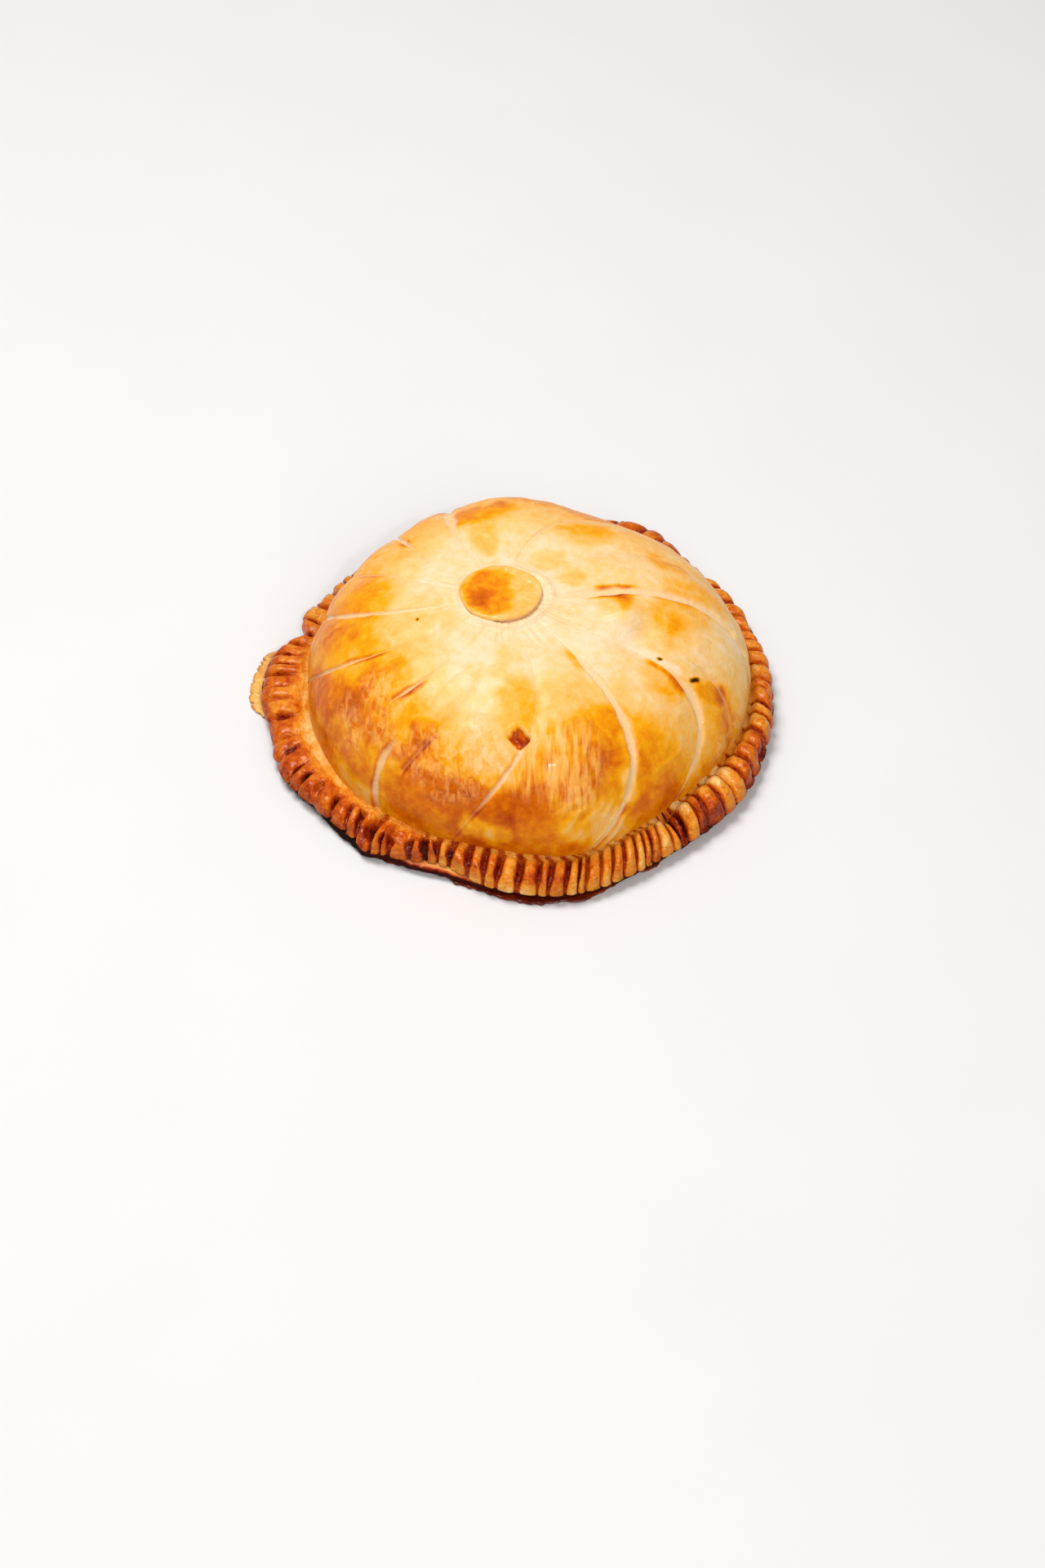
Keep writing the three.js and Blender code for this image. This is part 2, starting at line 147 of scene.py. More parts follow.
# Paler places, given in the same way. The first, over the folds low on the front, is partly paler crust and
# partly painted highlight on the folds.
PALE_PATCHES = (
    (284, 0.84, 292, 0.9, 7, 0.3), (250, 0.36, 254, 0.46, 9, 0.25), (256, 0.56, 260, 0.64, 7, 0.18),
    (228, 0.62, 232, 0.66, 4, 0.3), (262, 0.9, 266, 0.9, 3, 0.3), (256, 0.89, 260, 0.89, 4, 0.35),
    (262, 0.93, 262, 0.93, 3, 0.3), (216, 0.93, 224, 0.95, 5, 0.4), (320, 0.42, 330, 0.4, 9, 0.35),
    (318, 0.6, 322, 0.55, 6, 0.3), (345, 0.62, 0, 0.72, 9, 0.3), (333, 0.44, 336, 0.6, 2.2, 0.5),
    (318, 0.3, 326, 0.36, 5, 0.2), (300, 0.78, 300, 0.82, 3, 0.3),
)
# Brown lines along the lips of cuts: which cut, which side of it, where from and to, strength, width.
BROWN_LIPS = (
    (0, 1, 0.29, 0.41, 0.5, 0.9), (0, -1, 0.26, 0.41, 0.45, 0.9), (0, -1, 0.46, 0.6, 0.35, 0.8),
    (4, 1, 0.5, 0.56, 0.4, 1.2), (5, 1, 0.48, 0.64, 0.4, 0.6), (7, 1, 0.48, 0.62, 0.5, 0.7),
    (7, -1, 0.5, 0.66, 0.3, 0.7), (8, 1, 0.46, 0.58, 0.55, 1.2), (8, -1, 0.5, 0.58, 0.4, 0.7),
    (9, -1, 0.72, 1, 0.45, 0.6), (10, 1, 0.62, 0.79, 0.5, 0.7), (11, 1, 0.81, 0.97, 0.45, 0.8),
    (11, -1, 0.62, 0.72, 0.25, 0.6), (12, 1, 0.86, 1, 0.55, 0.7), (12, -1, 0.3, 0.4, 0.3, 1.6),
    (13, -1, 0.5, 0.66, 0.5, 1.8), (13, -1, 0.9, 1, 0.5, 0.8), (13, 1, 0.92, 1, 0.3, 0.7),
    (14, -1, 0.64, 0.8, 0.12, 1.4),
)
# Burnt specks: angle and share of one end, of the other, radius.
CHAR_SPECKS = (
    (336.6, 0.653, 338.6, 0.668, 0.6), (335.8, 0.53, 336.2, 0.536, 0.45), (197, 0.33, 197, 0.33, 0.45),
    (252, 0.68, 252, 0.68, 0.3),
)
# Places where the crust wrinkled: angle and share of one end, of the other, and the radius.
RIPPLES = ((275, 0.59, 288, 0.6, 7), (273, 0.66, 288, 0.66, 8), (280, 0.74, 286, 0.75, 5))
CRINKLES = (
    (256, 0.58, 264, 0.62, 5), (250, 0.66, 264, 0.66, 6), (236, 0.66, 244, 0.62, 4),
    (240, 0.73, 256, 0.72, 6), (246, 0.79, 256, 0.76, 4), (214, 0.58, 222, 0.62, 6),
    (210, 0.72, 216, 0.78, 5), (222, 0.68, 230, 0.72, 5), (332, 0.92, 342, 0.92, 5),
)
FOLDS = ((284, 0.84, 293, 0.92, 8),)
VENT = (270.6, 0.565, 2.5)  # the torn hole beside a cut: angle, share, half its width
DOME_RINGS = 168

# The rim's ribs, pressed in lengths: from each angle up to the next, so many.
CRIMP_LENGTHS = ((-50, 8), (-15, 8), (20, 29), (164, 3), (174, 4), (195, 8), (232, 14), (282, 11))
CRIMP_DEPTH = 1.9
# Every 36 degrees from 0: how far each crimp leans, and how high the rim's crest stands.
CRIMP_LEAN = (-3, -3.5, -4, -3.5, -2.5, -1, 4, 1, -4, -3)
CREST_RISE = (5.2, 5.2, 6, 5.2, 4.6, 4.4, 4.8, 5.2, 5, 6)
GUTTER_WIDTH = 0.6
GUTTER_SWELLS = ((198, 1.3, 22),)
NOTCHES = ((231.5, 2.6, 1.5), (236, -0.8, 2.6), (309.5, 3.4, 2.6))  # angle, depth, size
RIM_STATIONS = 54
RIM_UNDERSIDE = 8  # how many of those stations lie underneath
SPOKES_PER_CRIMP = 14
# Every 30 degrees from 0: how high the gutter inside the rim lies, how wide the grooves are pressed
# (a share of a crimp), how far out across the rim they begin, how round the ribs are between them,
# and how brown grooves and ribs baked.
GUTTER_RISE = (3, 2.9, 2.9, 2.9, 2.9, 2.9, 2.9, 3, 4.2, 4.4, 4.2, 3.6)
GROOVE_WIDTH = (0.2, 0.22, 0.22, 0.22, 0.25, 0.25, 0.28, 0.35, 0.8, 0.5, 0.32, 0.2)
GROOVE_START = (-0.1, 0, 0, 0.05, 0.1, 0.2, 0.26, 0.24, -0.3, -0.4, -0.3, -0.3)
RIB_ROUNDNESS = (0.8, 0.8, 0.75, 0.7, 0.6, 0.5, 0.4, 0.5, 0.55, 0.7, 0.8, 0.85)
GROOVE_BROWNING = (0.84, 0.86, 0.9, 0.88, 0.85, 0.88, 0.95, 0.97, 0.98, 0.88, 0.8, 0.84)
RIM_BROWNING = (0.5, 0.5, 0.54, 0.58, 0.52, 0.44, 0.56, 0.6, 0.56, 0.48, 0.42, 0.44)

# The frill's run round the rim: from which angle, and how far.
FRILL_START = 159.3
FRILL_TURN = 24.4

# The camera and the lights, in metres: each light's name, place, size and the setting for its strength.
CAMERA_PLACE = (-0.00036, -0.7069, 0.7494)
CAMERA_TILT = 42.13
LIGHTS = (
    ("key_softbox", (-0.32, 0.2, 1.08), 0.6, "key"),
    ("front_softbox", (0.34, -1, 0.95), 0.9, "fill"),
    ("small_lamp", (0.2, -0.76, 0.86), 0.05, "sparkle"),
)
LIGHT_TARGET = (0, 0, 0.02)
LIGHT_TINT = (1, 0.96, 0.86)


# ---------------------------------------------------------------- sizes and colours to change

def tone(red, green, blue):
    """A colour picked on a screen, from 0 to 255, as Blender's own linear values."""
    return tuple(((c / 255 + 0.055) / 1.055) ** 2.4 if c > 10 else c / 3294.6 for c in (red, green, blue))


def number(name, description, default, low=0, high=1000, **kind):
    return FloatProperty(name=name, description=description, default=default, min=low, max=high, **kind)


def length(name, description, millimetres):
    return number(name, description, millimetres * MM, unit="LENGTH")


def colour(name, description, *rgb):
    return FloatVectorProperty(
        name=name, description=description, default=tone(*rgb), size=3, min=0, max=1, subtype="COLOR"
    )


class PieSizes(bpy.types.PropertyGroup):
    """Sizes of the pie"""

    rim_radius: length("Rim radius", "From the middle to the rim's edge, before its swells", 69.7)
    foot_radius: length("Dome radius", "From the middle to the dome's foot", 60)
    dome_height: length("Dome height", "The crust's highest point under the button", 42.3)
    sheet_thickness: length("Bottom sheet", "Thickness of the bottom pastry sheet", 2.4)
    juice_thickness: length("Baked juices", "Thickness of the baked juices under the pie", 0.8)
    button_length: length("Button length", "The pastry button from side to side", 22.4)
    button_width: length("Button width", "The pastry button from front to back", 20.8)
    button_thickness: length("Button thickness", "How far the button stands above the crust", 1.8)


class CrustColours(bpy.types.PropertyGroup):
    """Colours of the crust, from its palest to its most baked"""

    cream: colour("Cream", "The palest crust, under the glaze", 240, 214, 182)
    straw: colour("Straw", "Lightly baked crust", 240, 196, 126)
    gold: colour("Gold", "Golden crust", 244, 166, 14)
    amber: colour("Amber", "Well browned crust", 218, 112, 2)
    russet: colour("Russet", "Deeply browned crust", 172, 58, 1)
    dark: colour("Dark", "Caught, nearly burnt crust", 62, 7, 1)
    tan: colour("Tan", "The rim's palest pastry", 228, 148, 42)
    nut: colour("Nut", "The rim's browned pastry", 200, 90, 8)
    chestnut: colour("Chestnut", "The rim's deeply browned sides", 144, 36, 2)
    # Partly the pale stretched crust of shrunk crests, partly painted highlight on them.
    skin: colour("Shrunk skin", "The thin crests where the crust shrank", 250, 196, 140)
    burnt: colour("Burnt", "Charred specks", 34, 13, 6)
    dough: colour("Bare dough", "Dough that opened in the cuts, without glaze", 247, 212, 168)


class GlazeLooks(bpy.types.PropertyGroup):
    """The egg glaze and what baked on under the pie"""

    gloss: number("Gloss", "How much glaze lies on the crust", 0.14, high=1, subtype="FACTOR")
    browning: number("Browning", "Bakes the whole crust more or less", 0, -0.5, 0.5)
    juice: colour("Juices", "Caramelised juices", 50, 9, 2)
    juice_thin: colour("Thin juices", "Juices where they are thin", 146, 42, 6)
    cheese: colour("Cheese", "Cheese that ran out and set", 234, 180, 90)
    cheese_dark: colour("Toasted cheese", "The browned edge of that cheese", 190, 100, 34)


class StageLooks(bpy.types.PropertyGroup):
    """The floor, the camera and the light"""

    floor: colour("Floor", "The plain floor", 225, 227, 237)
    lens: number("Lens", "The camera's focal length in millimetres", 85, 20, 300)
    key: number("Key light", "Strength of the large soft light", 10.4, unit="POWER")
    fill: number("Front light", "Strength of the soft light in front", 5, unit="POWER")
    sparkle: number("Small lamp", "Strength of the lamp that glints in the glaze", 2, unit="POWER")
    sky: number("Room light", "Strength of the even light all round", 0.3)


# ---------------------------------------------------------------- shapes in numbers

def turn_between(start, end):
    return (end - start + 180) % 360 - 180


def hump(distance, size):
    return np.exp(-((distance / size) ** 2))


def smooth(value, low, high):
    t = np.clip((value - low) / (high - low), 0, 1)
    return t * t * (3 - 2 * t)


def within(value, low, full, still_full, high):
    """1 from full to still_full, fading to 0 at low and at high."""
    return smooth(value, low, full) * (1 - smooth(value, still_full, high))


def facing(angle, at, size):
    """1 where the angle is at, fading over about that many degrees to both sides."""
    return hump(turn_between(at, angle), size)


def edge_at(radius, swells, angle):
    return radius + sum(reach * facing(angle, at, fade) for at, reach, fade in swells)


def around(values, angle):
    """A smooth closed curve through values at even steps of angle."""
    values = np.asarray(values, float)
    place = (angle % 360) / 360 * len(values)
    before = np.floor(place).astype(int) % len(values)
    t = smooth(place - np.floor(place), 0, 1)
    return values[before] * (1 - t) + values[(before + 1) % len(values)] * t


def polar(radius, angle, z):
    turn = np.radians(angle)
    return np.stack([radius * np.cos(turn), radius * np.sin(turn), z + 0 * turn], axis=-1)


def mixed(cell, seed):
    """Three repeatable random numbers from -1 to 1 for each whole-numbered cell."""
    x, y, z = (cell[..., i].astype(np.uint64) for i in range(3))
    word = np.uint64(0xFFFFFFFF)
    h = x * np.uint64(374761393) + y * np.uint64(668265263) + z * np.uint64(974634777)
    h = (h + np.uint64(seed * 7919 + 13)) & word
    h = ((h ^ (h >> np.uint64(13))) * np.uint64(1274126177)) & word
    h = ((h ^ (h >> np.uint64(16))) * np.uint64(2246822519)) & word
    h ^= h >> np.uint64(15)
    parts = [(h >> np.uint64(shift)) & np.uint64(1023) for shift in (0, 10, 20)]
    return np.stack(parts, axis=-1) / 511.5 - 1


def wander(points, size, seed, layers=1):
    """Smooth random waves of about that size over points, from about -1 to 1."""
    total, strength, sum_of = 0, 1, 0
    for layer in range(layers):
        place = points / size * 2**layer + 500
        cell = np.floor(place)
        part = place - cell
        fade = part**3 * (part * (part * 6 - 15) + 10)
        wave = 0
        for corner in np.ndindex(2, 2, 2):
            corner = np.array(corner)
            weight = np.prod(np.where(corner, fade, 1 - fade), axis=-1)
            wave = wave + weight * np.sum(mixed(cell + corner, seed + 31 * layer) * (part - corner), axis=-1)
        total = total + strength * wave * 1.7
        sum_of += strength
        strength *= 0.5
    return total / sum_of


def shaken(points, reach, size, seed, layers=1):
    """The points moved about at random, by about that reach."""
    return points + reach * np.stack([wander(points, size, seed + i, layers) for i in range(3)], axis=-1)


def ridges(points, size, seed):
    """Narrow crests that wander, from 0 to 1."""
    return (1 - np.minimum(np.abs(wander(points, size, seed)) * 3, 1)) ** 2


# ---------------------------------------------------------------- meshes from wrapped grids

def wrapped_piece(name, stations, spokes, place):
    """A closed piece: a flat grid whose points place(station, spoke) wraps round the pie. It gives
    them in millimetres, with the surface's values there, each an array or one number for all."""
    grid = bmesh.new()
    bmesh.ops.create_grid(grid, x_segments=spokes, y_segments=stations - 1, size=1)
    mesh = bpy.data.meshes.new(name)
    grid.to_mesh(mesh)
    grid.free()
    flat = np.empty(len(mesh.vertices) * 3)
    mesh.vertices.foreach_get("co", flat)
    x, y, _ = flat.reshape(-1, 3).T
    station = np.rint((y + 1) / 2 * (stations - 1)).astype(int)
    spoke = np.rint((x + 1) / 2 * spokes).astype(int) % spokes
    points, values = place(station, spoke)
    mesh.vertices.foreach_set("co", (points * MM).ravel())
    for value_name, value in values.items():
        mesh.attributes.new(value_name, "FLOAT", "POINT").data.foreach_set("value", value + 0.0 * station)
    return welded_piece(name, mesh)


def welded_piece(name, mesh):
    """Merges doubles, turns faces outwards, shades them smooth and puts the piece in the scene."""
    solid = bmesh.new()
    solid.from_mesh(mesh)
    bmesh.ops.remove_doubles(solid, verts=solid.verts, dist=2e-6)
    bmesh.ops.recalc_face_normals(solid, faces=solid.faces)
    solid.to_mesh(mesh)
    solid.free()
    mesh.shade_smooth()
    piece = bpy.data.objects.new(name, mesh)
    bpy.context.collection.objects.link(piece)
    return piece


def finished(piece, material, node):
    piece.data.materials.append(material)
    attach(piece, "root")
    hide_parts(node)


# ---------------------------------------------------------------- the dome

class Dome:
    """The smooth dome under its cuts and lumps."""

    def __init__(self, sizes):
        self.foot = sizes.foot_radius / MM
        self.top = sizes.dome_height / MM
        turn = np.radians(np.linspace(0, 90, 1201))
        self.reach = np.sin(turn) ** (2 / FLATNESS)
        self.z = FOOT_HEIGHT + (self.top - FOOT_HEIGHT) * np.cos(turn)
        steps = np.hypot(np.diff(self.reach) * self.foot, np.diff(self.z))
        self.run = np.concatenate([[0], np.cumsum(steps)])
        self.length = self.run[-1]

    def down(self, share):
        at = np.clip(share, 0, 1) * self.length
        return np.interp(at, self.run, self.reach), np.interp(at, self.run, self.z)

    def point(self, share, angle):
        reach, z = self.down(share)
        point = polar(reach * edge_at(self.foot, FOOT_SWELLS, angle), angle, z)
        point[..., 0] += DOME_TOP[0] * (1 - reach)
        point[..., 1] += DOME_TOP[1] * (1 - reach)
        return point

    def normal(self, share, angle):
        inner = np.clip(share - 0.01, 0.02, 0.98)
        outer = np.maximum(share, 0.02)
        along = self.point(inner + 0.02, angle) - self.point(inner, angle)
        across = self.point(outer, angle + 1) - self.point(outer, angle - 1)
        normal = np.cross(along, across)
        return normal / np.linalg.norm(normal, axis=-1, keepdims=True)

    def near(self, points, patch):
        """How far points are from the straight line between a patch's two ends."""
        ends = patch[:2], patch[2:4]
        start, end = (self.point(np.array(share), np.array(angle)) for angle, share in ends)
        along = end - start
        t = np.clip((points - start) @ along / max(along @ along, 1e-9), 0, 1)
        return np.linalg.norm(points - start - t[..., None] * along, axis=-1)


def cut_angle(cut, share):
    """The cut's angle at a share: the cubic through its four places."""
    share = np.maximum(share, CUT_SHARES[0])
    total = 0
    for i, at in enumerate(CUT_SHARES):
        weight = 1
        for j, other in enumerate(CUT_SHARES):
            if j != i:
                weight = weight * (share - other) / (at - other)
        total = total + weight * cut[0][i]
    return total


def panel_spokes():
    """How many spokes run down each panel of crust, more on wide ones."""
    counts = []
    for cut, following in zip(CUTS, CUTS[1:] + CUTS[:1]):
        width = (following[0][2] - cut[0][2]) % 360
        counts.append(int(round(10 + width * 0.95)))
    return counts


def spread(place):
    """Moves even places across a panel towards the cuts at its two sides."""
    return place - 0.1 * np.sin(2 * math.pi * place)


def cut_shape(order, share, distance, points):
    """At a distance across a cut: how deep it is, how high its lips stand, how bare its bed is, and
    how brown its lips are."""
    _, start, end, (wide_from, wide_to), width, depth, bare = CUTS[order]
    seed = 40 + 3 * order
    there = within(share, start - 0.02, start + 0.05, end - 0.05, end + 0.02)
    gape = within(share, wide_from - 0.1, wide_from + 0.05, wide_to - 0.06, wide_to + 0.08)
    uneven = 1 + 0.4 * wander(points, 5, seed) + 0.16 * wander(points, 1.6, seed + 1)
    half = (0.3 + (width / 2 - 0.3) * gape) * uneven
    bed = 1 - smooth(np.abs(distance), half * 0.5, half * 1.25)
    lip = hump(np.abs(distance) - half * 1.5, 0.35 + 0.3 * gape)
    sunk = there * (0.08 + (depth - 0.08) * gape) * bed
    layers = 0.08 * gape * bed * np.sin(distance * 9 + 2 * wander(points, 3, seed + 2))
    brown = 0
    for at, side, near, far, strength, reach in BROWN_LIPS:
        if at == order:
            beyond = side * distance - half * 0.9
            along = within(share, near - 0.02, near + 0.03, far - 0.03, far + 0.02)
            band = within(beyond, -0.3, 0.1, reach * 0.4, reach * (1.2 + 0.5 * uneven))
            brown = np.maximum(brown, strength * along * band)
    bared = there * bed * (0.12 + (bare - 0.12) * gape) * (1 - 0.6 * smooth(share, 0.9, 0.98))
    return sunk - there * lip * (0.01 + 0.13 * gape) + layers * there, bared, brown


def dome_surface(dome, share, spoke):
    """Where each point of the crust lies, and how it was baked."""
    counts = panel_spokes()
    starts = np.concatenate([[0], np.cumsum(counts)])
    panel = np.searchsorted(starts, spoke, side="right") - 1
    angle, across, width = np.zeros((3, len(spoke)))
    for i, count in enumerate(counts):
        mine = panel == i
        following = CUTS[(i + 1) % len(CUTS)]
        from_angle = cut_angle(CUTS[i], share[mine])
        room = (cut_angle(following, share[mine]) - from_angle) % 360
        across[mine] = spread((spoke[mine] - starts[i]) / count)
        angle[mine] = from_angle + across[mine] * room
        width[mine] = room

    base = dome.point(share, angle)
    normal = dome.normal(share, angle)
    around_here = np.maximum(dome.down(share)[0], 0.08) * dome.foot * math.pi / 180
    relief = within(share, 0.2, 0.4, 0.85, 1)
    fullness = smooth(width * around_here, 3, 14)
    rise = CROWNING * fullness * relief * (1 - (2 * across - 1) ** 2)

    sunk, bare, lips = np.zeros((3, len(share)))
    for i in range(len(CUTS)):
        after, before = panel == i, panel == (i - 1) % len(CUTS)
        for mine, part in ((after, across), (before, across - 1)):
            distance = part[mine] * width[mine] * around_here[mine]
            depth, open_dough, brown = cut_shape(i, share[mine], distance, base[mine])
            sunk[mine] += depth
            bare[mine] = np.maximum(bare[mine], open_dough)
            lips[mine] = np.maximum(lips[mine], brown)
    rise -= sunk * smooth(share, 0.08, 0.14)

    lumps = sum(height * hump(np.hypot(base[:, 0] - x, base[:, 1] - y), size) for x, y, size, height in LUMPS)
    rise += relief * lumps
    spread_in = smooth(share, 0.1, 0.25)
    rise += spread_in * (0.45 * wander(base, 19, 1, 2) + 0.1 * wander(base, 5, 2, 2))
    wrinkled, rippled, crinkled = dome_wrinkles(dome, base, share, angle, around_here)
    rise += wrinkled
    # The crust stands up a little in a collar round the button.
    turn = np.radians(angle)
    collar = 1 / np.hypot(np.cos(turn) / 12, np.sin(turn) / 11.2)
    rise += 0.8 * hump(share * dome.length - collar, 0.9) * (1 + 0.7 * wander(base, 5, 5))

    torn = vent_distance(dome, base)
    vent = 1 - smooth(torn, 0.9, 1.06)
    rise += 0.2 * hump(torn - 1.3, 0.25) - 1.3 * vent * (1 + 0.4 * wander(base, 2.2, 8))

    values = dome_browning(dome, base, share, angle, lips)
    values["browning"] = np.maximum(values["browning"], (0.8 + 0.16 * wander(base, 1.8, 9)) * vent)
    # Raised wrinkles are painted paler: partly pale stretched crust, partly painted highlight on them.
    values["browning"] += 0.05 * crinkled - 0.03 * rippled - 0.25 * np.clip(wrinkled, 0, 0.6)
    values["bare"] = bare * (1 - vent)
    values["rippled"] = rippled * (1 - bare) * (1 - vent)
    values["crinkled"] = crinkled * (1 - bare) * (1 - vent)
    return base + normal * rise[:, None], values


def vent_distance(dome, base):
    """How far out of the torn four-cornered vent a point is: 1 on its edge."""
    angle, share, half = VENT
    middle = dome.point(np.array(share), np.array(angle))
    down = dome.point(np.array(share + 0.02), np.array(angle)) - middle
    down /= np.linalg.norm(down)
    side = np.cross(dome.normal(np.array(share), np.array(angle)), down)
    off = base + 0.15 * wander(base, 1.6, 7)[:, None] - middle
    u, v = off @ down, off @ side
    sides = np.abs(0.8 * u + 0.6 * v), np.abs(0.6 * u - 0.8 * v) * 1.15
    return (0.15 * np.hypot(*sides) + 0.85 * np.maximum(*sides)) / half


def zone(dome, points, patches):
    """1 inside any of the patches, fading to 0 outside."""
    inside = 0
    for patch in patches:
        inside = np.maximum(inside, 1 - smooth(dome.near(points, patch), patch[4] * 0.2, patch[4] * 1.3))
    return inside


def dome_wrinkles(dome, base, share, angle, around_here):
    """Ripples that run down the front, crinkles, and folds beside the foot."""
    down = share * dome.length
    unrolled = polar(dome.foot, angle, down)
    run = unrolled * [1, 1, 0.17]
    rippled = zone(dome, base, RIPPLES)
    crinkled = zone(dome, base, CRINKLES)
    folded = zone(dome, base, FOLDS)
    rise = rippled * (0.3 * ridges(run, 5, 11) + 0.25 * wander(run, 3, 12))
    drawn = unrolled * [1, 0.6, 0.4]
    rise += crinkled * (0.5 * wander(drawn, 3.4, 13, 2) + 0.15 * wander(drawn, 5, 14))
    fold_line = turn_between(290, angle) * around_here * 0.62 + down * 0.78
    folds = np.sin(fold_line * 1.9 + 2.4 * wander(base, 6, 15))
    rise += folded * 0.45 * np.maximum(folds, -0.3) * smooth(wander(base, 9, 18), -0.5, 0.1)
    # Fine creases run out from under the button.
    spokes = polar(11, angle, down * 0.12)
    rise -= hump(share - 0.19, 0.07) * (0.36 * ridges(spokes, 1.9, 35) + 0.15 * wander(spokes, 1.1, 36))
    # Everywhere else the crust buckled a little as it dried.
    flank = smooth(share, 0.25, 0.6)
    rise += flank * 0.3 * ridges(unrolled, 10, 19) * smooth(wander(base, 15, 33), -0.1, 0.4)
    rise += flank**2 * 0.05 * wander(run, 2.4, 34, 2)
    return rise, rippled, crinkled


def dome_browning(dome, base, share, angle, lips):
    """How brown the crust is, from its place, its patches, and the streaks between."""
    columns = np.stack([around(column, angle) for column in zip(*BROWNING_ROUND)], axis=-1)
    browning = np.zeros(len(share))
    for i in range(len(BROWNING_SHARES) - 1):
        a, b = BROWNING_SHARES[i : i + 2]
        mine = (share >= a) & (share < b) if i else share < b
        t = np.clip((share[mine] - a) / (b - a), 0, 1)
        browning[mine] = columns[mine, i] * (1 - t) + columns[mine, i + 1] * t
    browning[share >= BROWNING_SHARES[-1]] = columns[share >= BROWNING_SHARES[-1], -1]

    warped = shaken(base, 2.2, 7, 20, 2)
    fine = shaken(base, 0.5, 2, 24)
    left = (1 - browning) * (1 - lips)
    for *patch, radius, strength in BROWN_PATCHES:
        places = warped if radius > 2 else fine
        left *= 1 - 0.68 * strength * (1 - smooth(dome.near(places, patch), radius * 0.45, radius * 1.2))
    browning = 1 - left
    for *patch, radius, strength in PALE_PATCHES:
        browning *= 1 - strength * (1 - smooth(dome.near(warped, patch), radius * 0.35, radius * 1.15))
    streaks = wander(polar(dome.foot, angle, share * dome.length * 0.2), 2.2, 30, 2)
    browning += 0.08 * wander(base, 13, 28, 3) + 0.05 * wander(base, 3, 29, 2)
    browning += 0.07 * smooth(share, 0.35, 0.65) * streaks
    char = np.zeros(len(share))
    for *ends, radius in CHAR_SPECKS:
        off = dome.near(0.7 * base + 0.3 * fine, ends)
        char = np.maximum(char, 1 - smooth(off, radius * 0.5, radius * 1.3))
        browning += (0.75 - browning) * 0.55 * (1 - smooth(off, radius * 0.8, radius * 2))
    return {"browning": browning, "char": char}


def make_dome(sizes):
    """The crust's rings run down to the foot, one more turns in on the sheet, and a pole closes it."""
    dome = Dome(sizes)
    sheet_top = (sizes.sheet_thickness + sizes.juice_thickness) / MM
    middle = [0, 0, sheet_top + 0.05]

    def place(station, spoke):
        share = np.clip(station / DOME_RINGS, 0, 1) ** 0.96
        points, values = dome_surface(dome, share, np.where(station == 0, 0, spoke))
        ring = station[:, None]
        points = np.where(ring > DOME_RINGS, points * [0.9, 0.9, 0] + middle, points)
        return np.where(ring > DOME_RINGS + 1, middle, points), values

    return wrapped_piece("crust_dome", DOME_RINGS + 3, sum(panel_spokes()), place)


# ---------------------------------------------------------------- the crimped rim

def chance(n):
    """A repeatable random number from 0 to 1 for a whole number."""
    wave = math.sin(n * 127.1 + 311.7) * 43758.5453
    return wave - math.floor(wave)


def crimp_list():
    """Each crimp's angle, width and depth, and two numbers from 0 to 1 for how odd it is."""
    crimps = []
    for i, (start, count) in enumerate(CRIMP_LENGTHS):
        end = CRIMP_LENGTHS[i + 1][0] if i + 1 < len(CRIMP_LENGTHS) else CRIMP_LENGTHS[0][0] + 360
        widths = [0.62 + 0.76 * chance(100 * i + k) for k in range(count)]
        at = start
        for k, width in enumerate(widths):
            size = (end - start) * width / sum(widths)
            depth = 0.8 + 0.4 * chance(100 * i + k + 50)
            crimps.append((at, size, depth, chance(7 * i + 3 * k), chance(11 * i + 5 * k + 1)))
            at += size
    return np.array(crimps)


